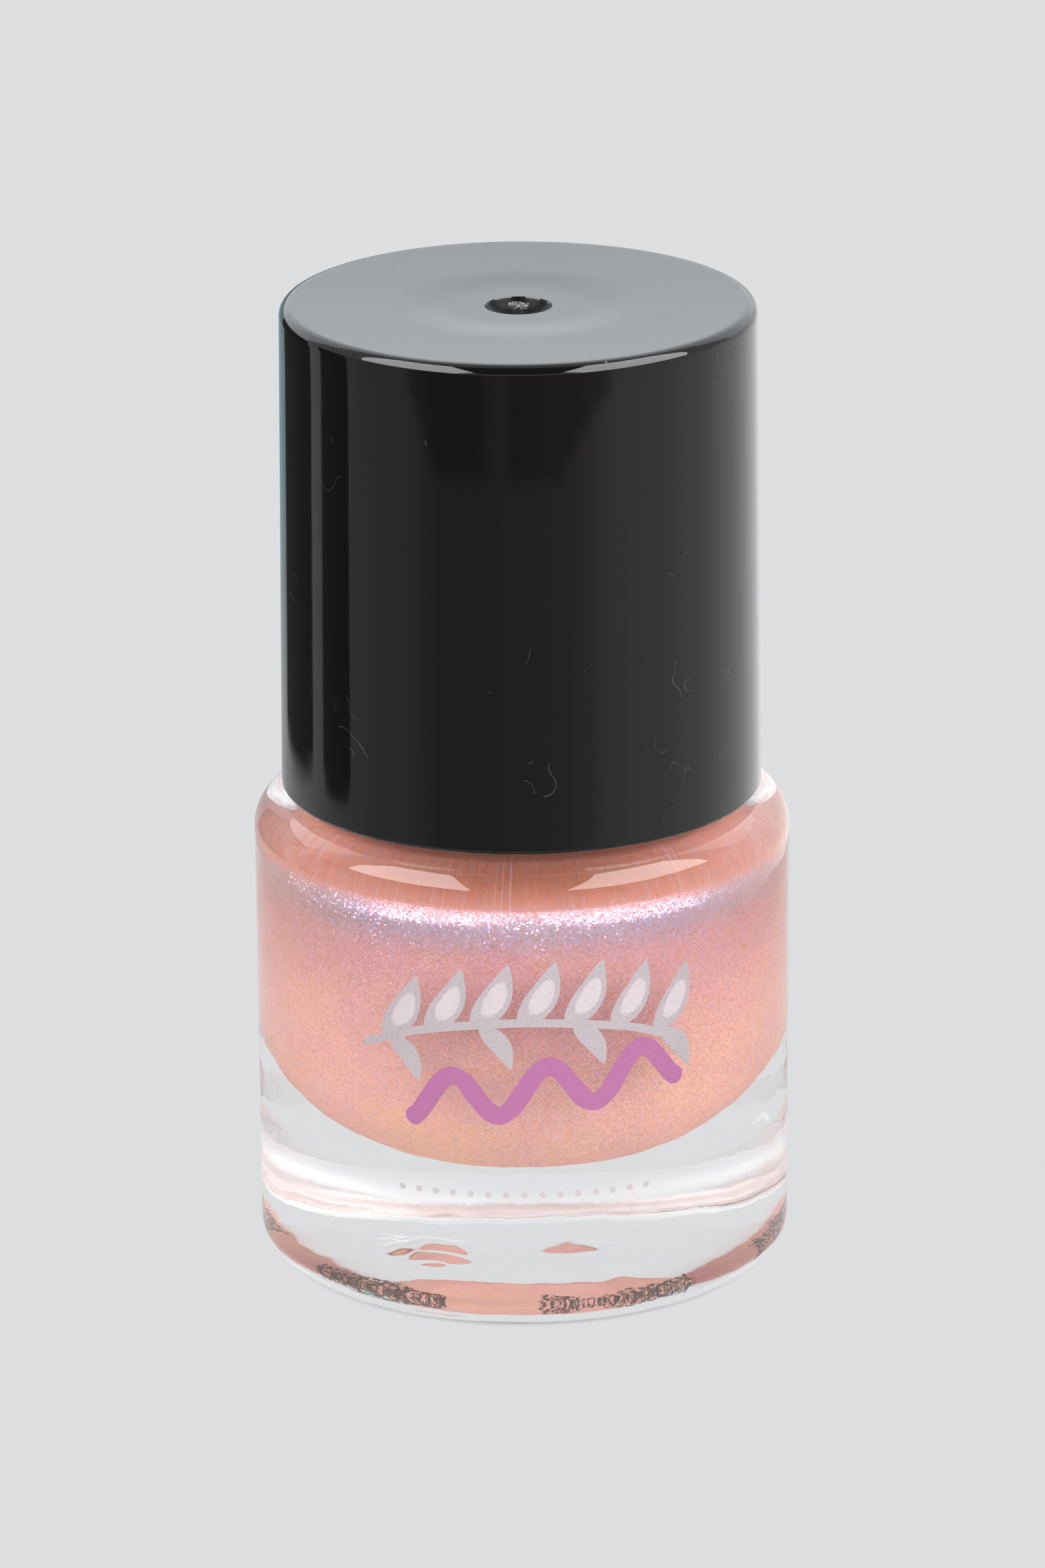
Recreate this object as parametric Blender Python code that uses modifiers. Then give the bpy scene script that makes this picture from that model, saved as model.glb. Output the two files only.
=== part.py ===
"""Round nail polish bottle: a thick-based glass bottle of polish under a tall screw cap with a brush.

Units are metres, +Z is up, and the origin is the centre of the base, on the surface that the bottle
stands on. Nearly every piece is turned about the Z axis: its profile is a list of corners (radius,
height, rounding) that runs down its outer side, and a Screw modifier turns it.
"""

import math

import bmesh
import bpy
from mathutils import Matrix, Vector

MM = 0.001

# Clearance between neighbouring pieces
FIT_GAP = 0.3 * MM

# Glass bottle, outside
BODY_RADIUS = 13.5 * MM
BODY_NARROWING = 0.05 * MM
HEEL_ROUNDING = 1.64 * MM
SHOULDER_EDGE_HEIGHT = 24.2 * MM
SHOULDER_ROUNDING = 1.74 * MM
SHOULDER_HEIGHT = 24.4 * MM
PUNT_RADIUS = 11.0 * MM
PUNT_DEPTH = 1.2 * MM
PUNT_FLATNESS = 4
PUNT_POINTS = 7
NECK_RADIUS = 5.7 * MM
NECK_FOOT_ROUNDING = 0.8 * MM
LIP_HEIGHT = 35.8 * MM
LIP_ROUNDING = 0.35 * MM

# Glass bottle, inside
FLOOR_HEIGHT = 6.6 * MM
BOWL_REACH = 7.8 * MM
BOWL_HEIGHT = 12.4 * MM
BOWL_POINTS = 9
CHAMBER_RADIUS = 11.2 * MM
CHAMBER_TOP = 22.2 * MM
CHAMBER_ROUNDING = 1.6 * MM
NECK_BORE_RADIUS = 3.75 * MM

# Screw thread: right-handed, twelve turns to the inch
PITCH = 25.4 / 12 * MM
RIDGE_ROOT_WIDTH = 1.1 * MM
RIDGE_CREST_WIDTH = 0.5 * MM
RIDGE_SINK = 0.3 * MM
RIDGE_STEPS_PER_TURN = 36
RIDGE_RUN_OUT_TURNS = 0.12
NECK_THREAD_START = 28.4 * MM
NECK_THREAD_TURNS = 2.0
NECK_THREAD_CREST = 6.45 * MM
CAP_THREAD_START = NECK_THREAD_START + PITCH / 2
CAP_THREAD_TURNS = 1.25
CAP_THREAD_CREST = 6.05 * MM

# Polish, with a well round the brush above a pocket for the mixing balls
BRUSH_WELL_RADIUS = 2.5 * MM

# Mixing balls of an eighth of an inch, which roll round the chamber's floor
BALL_COUNT = 2
BALL_RADIUS = 25.4 / 16 * MM
BALL_TRACK_RADIUS = 3.0 * MM

# Sealing liner and brush stem
LINER_THICKNESS = 0.8 * MM
LINER_OUTER_RADIUS = 5.9 * MM
LINER_HOLE_RADIUS = 2.35 * MM
FLANGE_THICKNESS = 1.0 * MM
FLANGE_RADIUS = 6.1 * MM
STEM_TOP_RADIUS = 1.95 * MM
STEM_TIP_RADIUS = 1.6 * MM
STEM_TIP_HEIGHT = 20.8 * MM
STEM_TIP_ROUNDING = 0.25 * MM
PLUG_RADIUS = 2.2 * MM
BARB_RADIUS = 2.8 * MM
BARB_NOSE_RADIUS = 1.7 * MM
BARB_HEIGHT = 0.9 * MM
TUFT_HOLE_RADIUS = 1.1 * MM
TUFT_HOLE_DEPTH = 4.2 * MM

# Anchor staple and bristle tuft
STAPLE_WIDTH = 1.4 * MM
STAPLE_HEIGHT = 1.2 * MM
STAPLE_WIRE_RADIUS = 0.14 * MM
STAPLE_ROUNDING = 0.3 * MM
TUFT_ROOT_RADIUS = 0.8 * MM
TUFT_BELLY_RADIUS = 1.7 * MM
TUFT_TIP_HEIGHT = 10.7 * MM
TUFT_POINTS = 10

# Inner cap, the threaded closure that is pressed into the outer cap
INNER_CAP_BOTTOM = 25.3 * MM
INNER_CAP_RADIUS = 8.2 * MM
INNER_CAP_THICKNESS = 1.3 * MM
SKIRT_FLANGE_HEIGHT = 1.0 * MM
SKIRT_FLANGE_RADIUS = 10.4 * MM
FIN_COUNT = 12
FIN_OUTER_RADIUS = 10.3 * MM
FIN_THICKNESS = 0.9 * MM
FIN_TOP_STEP = 0.4 * MM

# Outer cap
CAP_BOTTOM = 24.75 * MM
CAP_TOP = 49.65 * MM
CAP_TOP_RADIUS = 11.89 * MM
CAP_BOTTOM_RADIUS = 12.09 * MM
CAP_EDGE_ROUNDING = 0.57 * MM
CAP_LIP_ROUNDING = 0.3 * MM
CAP_WALL = 1.35 * MM
CAP_TOP_THICKNESS = 1.8 * MM
DIMPLE_RADIUS = 1.68 * MM
DIMPLE_FLOOR_RADIUS = 0.9 * MM
DIMPLE_DEPTH = 0.8 * MM
GATE_STUB_RADIUS = 0.475 * MM
RIB_COUNT = 8
RIB_INNER_RADIUS = 7.2 * MM
RIB_THICKNESS = 0.9 * MM

# Facets
BODY_SEGMENTS = 48
SMALL_SEGMENTS = 24
ARC_STEP = math.radians(30)
SHARP_ANGLE = math.radians(35)

# Heights and radii that follow from the ones above
LINER_BOTTOM = LIP_HEIGHT + FIT_GAP
LINER_TOP = LINER_BOTTOM + LINER_THICKNESS
FLANGE_BOTTOM = LINER_TOP + FIT_GAP
FLANGE_TOP = FLANGE_BOTTOM + FLANGE_THICKNESS
INNER_CAP_CEILING = FLANGE_TOP + FIT_GAP
INNER_CAP_TOP = INNER_CAP_CEILING + INNER_CAP_THICKNESS
INNER_CAP_BORE = NECK_THREAD_CREST + FIT_GAP
PLUG_HOLE_RADIUS = PLUG_RADIUS + FIT_GAP
BARB_BOTTOM = INNER_CAP_TOP + FIT_GAP
PLUG_TOP = BARB_BOTTOM + BARB_HEIGHT
TUFT_HOLE_TOP = STEM_TIP_HEIGHT + TUFT_HOLE_DEPTH
STAPLE_TOP = TUFT_HOLE_TOP - FIT_GAP
TUFT_TOP = STAPLE_TOP - STAPLE_HEIGHT - FIT_GAP
CAP_CEILING = CAP_TOP - CAP_TOP_THICKNESS
POLISH_TOP = CHAMBER_TOP - FIT_GAP
BALL_HEIGHT = FLOOR_HEIGHT + FIT_GAP + BALL_RADIUS
POCKET_TOP = BALL_HEIGHT + BALL_RADIUS + FIT_GAP
POCKET_RADIUS = BALL_TRACK_RADIUS + BALL_RADIUS + FIT_GAP


def clear_scene():
    """Remove whatever objects the file opened with."""
    for item in list(bpy.data.objects):
        bpy.data.objects.remove(item, do_unlink=True)


def new_collection(name):
    """Make a collection and show it in the scene."""
    collection = bpy.data.collections.new(name)
    bpy.context.scene.collection.children.link(collection)
    return collection


def principled(name, color, roughness, metallic=0.0, transmission=0.0):
    """Make a Principled material of one colour and finish."""
    material = bpy.data.materials.new(name)
    material.use_nodes = True
    shader = material.node_tree.nodes["Principled BSDF"]
    shader.inputs["Base Color"].default_value = (*color, 1.0)
    shader.inputs["Roughness"].default_value = roughness
    shader.inputs["Metallic"].default_value = metallic
    shader.inputs["Transmission Weight"].default_value = transmission
    return material


def corner_arc(before, here, after, rounding):
    """Points of the arc that rounds the corner between two straight sides."""
    to_before = (before - here).normalized()
    to_after = (after - here).normalized()
    half_opening = to_before.angle(to_after) / 2
    middle = (to_before + to_after).normalized()
    centre = here + middle * (rounding / math.sin(half_opening))
    side = rounding / math.tan(half_opening)
    start = (here + to_before * side - centre).normalized()
    end = (here + to_after * side - centre).normalized()
    steps = max(2, round((math.pi - 2 * half_opening) / ARC_STEP))
    return [centre + start.slerp(end, step / steps) * rounding for step in range(steps + 1)]


def rounded(corners):
    """Turn corners (across, height, rounding) into points, each rounded corner an arc."""
    places = [Vector(corner[:2]) for corner in corners]
    points = []
    for index, here in enumerate(places):
        rounding = corners[index][2]
        if rounding:
            after = places[(index + 1) % len(places)]
            points += corner_arc(places[index - 1], here, after, rounding)
        else:
            points.append(here)
    return points


def add_object(name, shape, collection, material=None):
    """Turn a bmesh into a named object."""
    mesh = bpy.data.meshes.new(name)
    shape.to_mesh(mesh)
    shape.free()
    if material:
        mesh.materials.append(material)
    piece = bpy.data.objects.new(name, mesh)
    collection.objects.link(piece)
    return piece


def turned(name, corners, material, collection, segments=BODY_SEGMENTS):
    """Make a solid of revolution; a profile that starts off the axis is closed into a ring."""
    shape = bmesh.new()
    vertices = [shape.verts.new((point.x, 0.0, point.y)) for point in rounded(corners)]
    for first, second in zip(vertices, vertices[1:]):
        shape.edges.new((first, second))
    if corners[0][0] > 0.0:
        shape.edges.new((vertices[-1], vertices[0]))
    piece = add_object(name, shape, collection, material)
    screw = piece.modifiers.new("turn", "SCREW")
    screw.axis = "Z"
    screw.angle = math.tau
    screw.steps = segments
    screw.render_steps = segments
    screw.use_merge_vertices = True
    screw.merge_threshold = 0.001 * MM
    return piece


def helical_ridge(name, wall, sunk, crest, start, turns, tools):
    """Loft a screw thread's ridge that stands on a cylindrical wall of radius wall.

    sunk is how far the ridge's root lies behind the wall, outwards if positive. At each end the
    ridge runs out until all of it is behind the wall. It starts at +X, at height start.
    """
    shape = bmesh.new()
    root = wall + sunk
    hidden = wall + sunk / 2
    steps = round(turns * RIDGE_STEPS_PER_TURN)
    sections = []
    for step in range(steps + 1):
        turn = turns * step / steps
        angle = turn * math.tau
        middle = start + turn * PITCH
        rise = min(1.0, turn / RIDGE_RUN_OUT_TURNS, (turns - turn) / RIDGE_RUN_OUT_TURNS)
        top = hidden + (crest - hidden) * math.sin(rise * math.pi / 2)
        outline = (
            (root, middle - RIDGE_ROOT_WIDTH / 2),
            (top, middle - RIDGE_CREST_WIDTH / 2),
            (top, middle + RIDGE_CREST_WIDTH / 2),
            (root, middle + RIDGE_ROOT_WIDTH / 2),
        )
        around = Matrix.Rotation(angle, 3, "Z")
        sections.append([shape.verts.new(around @ Vector((r, 0.0, z))) for r, z in outline])
    for lower, upper in zip(sections, sections[1:]):
        for corner in range(4):
            after = (corner + 1) % 4
            shape.faces.new((lower[corner], lower[after], upper[after], upper[corner]))
    shape.faces.new(sections[0])
    shape.faces.new(sections[-1])
    bmesh.ops.recalc_face_normals(shape, faces=shape.faces)
    bmesh.ops.triangulate(shape, faces=shape.faces)
    return add_object(name, shape, tools)


def radial_plates(name, count, inner, outer, thickness, bottom, top, tools):
    """Make a ring of box-shaped plates that point away from the axis."""
    shape = bmesh.new()
    for index in range(count):
        corners = bmesh.ops.create_cube(shape, size=1.0)["verts"]
        bmesh.ops.scale(shape, vec=(outer - inner, thickness, top - bottom), verts=corners)
        middle = ((inner + outer) / 2, 0.0, (bottom + top) / 2)
        bmesh.ops.translate(shape, vec=middle, verts=corners)
        around = Matrix.Rotation(math.tau * (index + 0.5) / count, 3, "Z")
        bmesh.ops.rotate(shape, cent=(0.0, 0.0, 0.0), matrix=around, verts=corners)
    return add_object(name, shape, tools)


def unite(target, tool):
    """Unite a hidden tool with its target."""
    tool.hide_render = True
    tool.display_type = "WIRE"
    union = target.modifiers.new(tool.name, "BOOLEAN")
    union.operation = "UNION"
    union.solver = "EXACT"
    union.object = tool


def shade_round(piece):
    """Shade a piece smooth, with its edges kept crisp."""
    piece.data.shade_smooth()
    piece.data.set_sharp_from_angle(angle=SHARP_ANGLE)


def bowl(inset):
    """Corners of the chamber's bowl from its flat floor up to its wall, moved inwards by inset.

    The bowl is a quarter of an ellipse.
    """
    corners = []
    for step in range(BOWL_POINTS + 1):
        angle = math.pi / 2 * step / BOWL_POINTS
        radius = CHAMBER_RADIUS - inset - BOWL_REACH * (1 - math.sin(angle))
        height = FLOOR_HEIGHT + inset + BOWL_HEIGHT * (1 - math.cos(angle))
        corners.append((radius, height, 0.0))
    return corners


def glass_bottle(parts, tools):
    """Bottle with a thick base over a shallow punt, an egg-shaped chamber and a threaded neck."""
    glass = principled("clear_glass", (0.93, 0.95, 0.95), 0.02, transmission=1.0)
    punt = []
    for step in range(1, PUNT_POINTS):
        share = 1 - step / PUNT_POINTS
        punt.append((PUNT_RADIUS * share, PUNT_DEPTH * (1 - share**PUNT_FLATNESS), 0.0))
    corners = [
        (0.0, FLOOR_HEIGHT, 0.0),
        *bowl(0.0),
        (CHAMBER_RADIUS, CHAMBER_TOP, CHAMBER_ROUNDING),
        (NECK_BORE_RADIUS, CHAMBER_TOP, CHAMBER_ROUNDING),
        (NECK_BORE_RADIUS, LIP_HEIGHT, LIP_ROUNDING),
        (NECK_RADIUS, LIP_HEIGHT, LIP_ROUNDING),
        (NECK_RADIUS, SHOULDER_HEIGHT, NECK_FOOT_ROUNDING),
        (BODY_RADIUS, SHOULDER_EDGE_HEIGHT, SHOULDER_ROUNDING),
        (BODY_RADIUS - BODY_NARROWING, 0.0, HEEL_ROUNDING),
        (PUNT_RADIUS, 0.0, 0.0),
        *punt,
        (0.0, PUNT_DEPTH, 0.0),
    ]
    bottle = turned("glass_bottle", corners, glass, parts)
    thread = helical_ridge(
        "neck_thread_tool",
        NECK_RADIUS,
        -RIDGE_SINK,
        NECK_THREAD_CREST,
        NECK_THREAD_START,
        NECK_THREAD_TURNS,
        tools,
    )
    unite(bottle, thread)
    return bottle


def polish_fill(parts):
    """The polish, clear of the glass, the brush and the pocket that the balls roll in."""
    pearl = principled("pearl_polish", (0.78, 0.45, 0.40), 0.35)
    side = [corner for corner in reversed(bowl(FIT_GAP)) if corner[0] > POCKET_RADIUS]
    corners = [
        (BRUSH_WELL_RADIUS, POLISH_TOP, 0.0),
        (CHAMBER_RADIUS - FIT_GAP, POLISH_TOP, CHAMBER_ROUNDING - FIT_GAP),
        *side,
        (POCKET_RADIUS, side[-1][1], 0.0),
        (POCKET_RADIUS, POCKET_TOP, 0.0),
        (BRUSH_WELL_RADIUS, POCKET_TOP, 0.0),
    ]
    return turned("polish_fill", corners, pearl, parts)


def mixing_ball(index, parts):
    """One steel ball on the chamber's floor, carried by an empty on the bottle's axis."""
    steel = principled(f"ball_steel_{index}", (0.62, 0.62, 0.64), 0.15, metallic=1.0)
    shape = bmesh.new()
    bmesh.ops.create_uvsphere(shape, u_segments=20, v_segments=12, radius=BALL_RADIUS)
    ball = add_object(f"mixing_ball_{index}", shape, parts, steel)
    track = bpy.data.objects.new(f"ball_track_{index}", None)
    parts.objects.link(track)
    track.rotation_euler.z = math.tau * (index - 1) / BALL_COUNT
    ball.parent = track
    ball.location = (BALL_TRACK_RADIUS, 0.0, BALL_HEIGHT)
    return ball


def sealing_liner(parts):
    """Soft washer between the brush's flange and the glass lip."""
    foam = principled("liner_foam", (0.86, 0.86, 0.83), 0.7)
    corners = [
        (LINER_HOLE_RADIUS, LINER_TOP, 0.0),
        (LINER_OUTER_RADIUS, LINER_TOP, 0.0),
        (LINER_OUTER_RADIUS, LINER_BOTTOM, 0.0),
        (LINER_HOLE_RADIUS, LINER_BOTTOM, 0.0),
    ]
    return turned("sealing_liner", corners, foam, parts, SMALL_SEGMENTS)


def brush_stem(parts):
    """Tapered rod with a barbed plug and a flange at its top and a blind hole for the tuft."""
    plastic = principled("stem_plastic", (0.03, 0.03, 0.032), 0.4)
    corners = [
        (0.0, PLUG_TOP, 0.0),
        (BARB_NOSE_RADIUS, PLUG_TOP, 0.0),
        (BARB_RADIUS, BARB_BOTTOM, 0.0),
        (PLUG_RADIUS, BARB_BOTTOM, 0.0),
        (PLUG_RADIUS, FLANGE_TOP, 0.0),
        (FLANGE_RADIUS, FLANGE_TOP, 0.0),
        (FLANGE_RADIUS, FLANGE_BOTTOM, 0.0),
        (STEM_TOP_RADIUS, FLANGE_BOTTOM, 0.0),
        (STEM_TIP_RADIUS, STEM_TIP_HEIGHT, STEM_TIP_ROUNDING),
        (TUFT_HOLE_RADIUS, STEM_TIP_HEIGHT, 0.0),
        (TUFT_HOLE_RADIUS, TUFT_HOLE_TOP, 0.0),
        (0.0, TUFT_HOLE_TOP, 0.0),
    ]
    return turned("brush_stem", corners, plastic, parts, SMALL_SEGMENTS)


def anchor_staple(parts):
    """Wire staple at the top of the stem's hole, its legs pointing down."""
    wire = principled("staple_wire", (0.66, 0.65, 0.62), 0.25, metallic=1.0)
    half_width = STAPLE_WIDTH / 2 - STAPLE_WIRE_RADIUS
    crown = STAPLE_TOP - STAPLE_WIRE_RADIUS
    foot = STAPLE_TOP - STAPLE_HEIGHT
    route = rounded(
        [
            (-half_width, foot, 0.0),
            (-half_width, crown, STAPLE_ROUNDING),
            (half_width, crown, STAPLE_ROUNDING),
            (half_width, foot, 0.0),
        ]
    )
    curve = bpy.data.curves.new("anchor_staple", "CURVE")
    curve.dimensions = "3D"
    curve.bevel_depth = STAPLE_WIRE_RADIUS
    curve.bevel_resolution = 2
    curve.use_fill_caps = True
    curve.materials.append(wire)
    spline = curve.splines.new("POLY")
    spline.points.add(len(route) - 1)
    for point, place in zip(spline.points, route):
        point.co = (place.x, 0.0, place.y, 1.0)
    staple = bpy.data.objects.new("anchor_staple", curve)
    parts.objects.link(staple)
    return staple


def bristle_tuft(parts):
    """The bristles' outer shape: a thin root in the stem's hole, a soft belly and a domed tip."""
    nylon = principled("bristle_nylon", (0.05, 0.045, 0.045), 0.5)
    corners = [
        (0.0, TUFT_TOP, 0.0),
        (TUFT_ROOT_RADIUS, TUFT_TOP, 0.0),
    ]
    length = STEM_TIP_HEIGHT - TUFT_TIP_HEIGHT
    for step in range(TUFT_POINTS):
        along = step / TUFT_POINTS
        swell = TUFT_ROOT_RADIUS + (TUFT_BELLY_RADIUS - TUFT_ROOT_RADIUS) * math.sin(along * math.pi / 2)
        dome = math.sqrt(1 - along**6)
        corners.append((swell * dome, STEM_TIP_HEIGHT - length * along, 0.0))
    corners.append((0.0, TUFT_TIP_HEIGHT, 0.0))
    return turned("bristle_tuft", corners, nylon, parts, SMALL_SEGMENTS)


def inner_cap(parts, tools):
    """Threaded closure with a skirt flange and fins that grip the outer cap."""
    plastic = principled("inner_cap_plastic", (0.035, 0.035, 0.037), 0.45)
    flange_top = INNER_CAP_BOTTOM + SKIRT_FLANGE_HEIGHT
    corners = [
        (PLUG_HOLE_RADIUS, INNER_CAP_TOP, 0.0),
        (INNER_CAP_RADIUS, INNER_CAP_TOP, 0.0),
        (INNER_CAP_RADIUS, flange_top, 0.0),
        (SKIRT_FLANGE_RADIUS, flange_top, 0.0),
        (SKIRT_FLANGE_RADIUS, INNER_CAP_BOTTOM, 0.0),
        (INNER_CAP_BORE, INNER_CAP_BOTTOM, 0.0),
        (INNER_CAP_BORE, INNER_CAP_CEILING, 0.0),
        (PLUG_HOLE_RADIUS, INNER_CAP_CEILING, 0.0),
    ]
    closure = turned("inner_cap", corners, plastic, parts)
    thread = helical_ridge(
        "cap_thread_tool",
        INNER_CAP_BORE,
        RIDGE_SINK,
        CAP_THREAD_CREST,
        CAP_THREAD_START,
        CAP_THREAD_TURNS,
        tools,
    )
    unite(closure, thread)
    fins = radial_plates(
        "fin_tool",
        FIN_COUNT,
        INNER_CAP_RADIUS - FIT_GAP,
        FIN_OUTER_RADIUS,
        FIN_THICKNESS,
        flange_top - FIT_GAP,
        INNER_CAP_TOP - FIN_TOP_STEP,
        tools,
    )
    unite(closure, fins)
    return closure


def outer_cap(parts, tools):
    """Tall gloss shell with a dimpled top, a gate stub, and ribs that bear on the inner cap."""
    plastic = principled("gloss_black", (0.012, 0.012, 0.014), 0.08)
    dimple_floor = CAP_TOP - DIMPLE_DEPTH
    corners = [
        (0.0, CAP_TOP, 0.0),
        (GATE_STUB_RADIUS, CAP_TOP, 0.0),
        (GATE_STUB_RADIUS, dimple_floor, 0.0),
        (DIMPLE_FLOOR_RADIUS, dimple_floor, 0.0),
        (DIMPLE_RADIUS, CAP_TOP, 0.0),
        (CAP_TOP_RADIUS, CAP_TOP, CAP_EDGE_ROUNDING),
        (CAP_BOTTOM_RADIUS, CAP_BOTTOM, CAP_LIP_ROUNDING),
        (CAP_BOTTOM_RADIUS - CAP_WALL, CAP_BOTTOM, CAP_LIP_ROUNDING),
        (CAP_TOP_RADIUS - CAP_WALL, CAP_CEILING, 0.0),
        (0.0, CAP_CEILING, 0.0),
    ]
    shell = turned("outer_cap", corners, plastic, parts)
    ribs = radial_plates(
        "rib_tool",
        RIB_COUNT,
        RIB_INNER_RADIUS,
        CAP_TOP_RADIUS - CAP_WALL / 2,
        RIB_THICKNESS,
        INNER_CAP_TOP + FIT_GAP,
        CAP_CEILING + FIT_GAP,
        tools,
    )
    unite(shell, ribs)
    return shell


def carry(name, pieces, parts):
    """Parent the pieces of one moving body to an empty on the bottle's axis."""
    carrier = bpy.data.objects.new(name, None)
    parts.objects.link(carrier)
    for piece in pieces:
        piece.parent = carrier


def build():
    """Model the whole bottle."""
    clear_scene()
    parts = new_collection("nail_polish_bottle")
    tools = new_collection("cutters")
    bottle_pieces = [glass_bottle(parts, tools), polish_fill(parts)]
    balls = [mixing_ball(index, parts) for index in range(1, BALL_COUNT + 1)]
    liner_pieces = [sealing_liner(parts)]
    brush_pieces = [brush_stem(parts), anchor_staple(parts), bristle_tuft(parts)]
    cap_pieces = [inner_cap(parts, tools), outer_cap(parts, tools)]
    carry("bottle_body", bottle_pieces, parts)
    carry("liner_body", liner_pieces, parts)
    carry("brush_body", brush_pieces, parts)
    carry("cap_body", cap_pieces, parts)
    for piece in bottle_pieces + balls + liner_pieces + cap_pieces:
        shade_round(piece)
    shade_round(brush_pieces[0])
    shade_round(brush_pieces[2])


build()
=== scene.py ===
"""Looks of the round nail polish bottle: clear glass, pearl polish, gloss black cap, brush and studio.

Units are metres, +Z is up and the bottle's front faces -Y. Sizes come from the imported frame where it
gives them, and the rest are named here.
"""

import math
import random

import bmesh
import bpy
from mathutils import Matrix, Vector, noise


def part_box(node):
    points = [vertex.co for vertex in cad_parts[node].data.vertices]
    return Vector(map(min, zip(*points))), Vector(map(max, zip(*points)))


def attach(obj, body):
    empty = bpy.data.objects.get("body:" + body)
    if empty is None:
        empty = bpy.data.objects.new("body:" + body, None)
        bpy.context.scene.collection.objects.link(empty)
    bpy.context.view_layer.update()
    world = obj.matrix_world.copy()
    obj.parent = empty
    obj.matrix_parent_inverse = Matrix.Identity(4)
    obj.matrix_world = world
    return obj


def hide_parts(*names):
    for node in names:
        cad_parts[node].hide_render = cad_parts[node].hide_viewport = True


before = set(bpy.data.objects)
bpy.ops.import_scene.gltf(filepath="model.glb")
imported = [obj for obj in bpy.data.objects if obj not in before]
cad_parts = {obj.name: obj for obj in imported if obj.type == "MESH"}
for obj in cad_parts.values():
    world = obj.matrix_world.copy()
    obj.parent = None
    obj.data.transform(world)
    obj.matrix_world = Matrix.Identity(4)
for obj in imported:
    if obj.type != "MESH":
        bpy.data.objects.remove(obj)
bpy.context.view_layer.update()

MM = 0.001

# Sizes that the frame gives
_, GLASS_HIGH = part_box("glass_bottle")
CAP_LOW, CAP_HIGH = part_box("outer_cap")
INNER_LOW, INNER_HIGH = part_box("inner_cap")
STEM_LOW, STEM_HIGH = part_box("brush_stem")
TUFT_LOW, TUFT_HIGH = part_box("bristle_tuft")
_, LINER_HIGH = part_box("sealing_liner")

# Glass bottle
BODY_RADIUS = 13.5 * MM
BODY_NARROWING = 0.05 * MM
HEEL_ROUNDING = 1.64 * MM
SHOULDER_EDGE_HEIGHT = 24.2 * MM
SHOULDER_ROUNDING = 1.74 * MM
SHOULDER_HEIGHT = 24.4 * MM
PUNT_RADIUS = 11.0 * MM
PUNT_DEPTH = 1.2 * MM
PUNT_FLATNESS = 4
PUNT_STEPS = 60
NECK_RADIUS = 5.7 * MM
NECK_FOOT_ROUNDING = 0.8 * MM
LIP_ROUNDING = 0.35 * MM
FLOOR_HEIGHT = 6.6 * MM
BOWL_REACH = 7.8 * MM
BOWL_HEIGHT = 12.4 * MM
BOWL_STEPS = 36
CHAMBER_RADIUS = 11.2 * MM
CHAMBER_TOP = 22.2 * MM
CHAMBER_ROUNDING = 1.6 * MM
NECK_BORE_RADIUS = 3.75 * MM

# The gap between neighbouring parts
PART_GAP = 0.3 * MM

# Screw thread
PITCH = 25.4 / 12 * MM
RIDGE_ROOT_WIDTH = 1.1 * MM
RIDGE_CREST_WIDTH = 0.5 * MM
RIDGE_RUN_OUT_TURNS = 0.12
NECK_THREAD_START = 28.4 * MM
NECK_THREAD_TURNS = 2.0
NECK_THREAD_RISE = 0.75 * MM
CAP_THREAD_START = NECK_THREAD_START + PITCH / 2
CAP_THREAD_TURNS = 1.25
CAP_THREAD_RISE = -0.7 * MM

# Polish
POLISH_BITE = 0.03 * MM
POLISH_LEVEL = 23.9 * MM
MENISCUS = 0.35 * MM

# Facets
BODY_SEGMENTS = 256
SMALL_SEGMENTS = 96
ARC_STEP = math.radians(7.5)
PLAIN_STEP = 1.5 * MM
UNDERSIDE_STEP = 0.25 * MM
NECK_STEP = 0.14 * MM

# Radii closer than this are the same
HAIR = 0.01 * MM
SHARP_ANGLE = math.radians(38)


# ---------------------------------------------------------------- mesh helpers


def corner_arc(before, here, after, rounding):
    """Points of the arc that rounds the corner between two straight sides."""
    to_before = (before - here).normalized()
    to_after = (after - here).normalized()
    half_opening = to_before.angle(to_after) / 2
    middle = (to_before + to_after).normalized()
    centre = here + middle * (rounding / math.sin(half_opening))
    side = rounding / math.tan(half_opening)
    start = (here + to_before * side - centre).normalized()
    end = (here + to_after * side - centre).normalized()
    steps = max(3, round((math.pi - 2 * half_opening) / ARC_STEP))
    return [centre + start.slerp(end, step / steps) * rounding for step in range(steps + 1)]


def rounded(corners):
    """Turn corners (radius, height, rounding) into profile points, each rounded corner an arc."""
    places = [Vector(corner[:2]) for corner in corners]
    points = []
    for index, here in enumerate(places):
        rounding = corners[index][2]
        if rounding:
            after = places[(index + 1) % len(places)]
            points += corner_arc(places[index - 1], here, after, rounding)
        else:
            points.append(here)
    return points


def refined(points, longest=lambda point: PLAIN_STEP):
    """Split a profile's long straight stretches into steps no longer than longest(point)."""
    fine = [points[0]]
    for start, end in zip(points, points[1:]):
        steps = max(1, math.ceil((end - start).length / longest((start + end) / 2)))
        fine += [start.lerp(end, step / steps) for step in range(1, steps + 1)]
    return fine


def link_object(name, data):
    """Put a mesh, lamp or camera in the scene as an object."""
    made = bpy.data.objects.new(name, data)
    bpy.context.scene.collection.objects.link(made)
    return made


def link_mesh(name, shape, material):
    """Turn a bmesh into an object with a material."""
    mesh = bpy.data.meshes.new(name)
    shape.to_mesh(mesh)
    shape.free()
    mesh.materials.append(material)
    return link_object(name, mesh)


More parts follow.
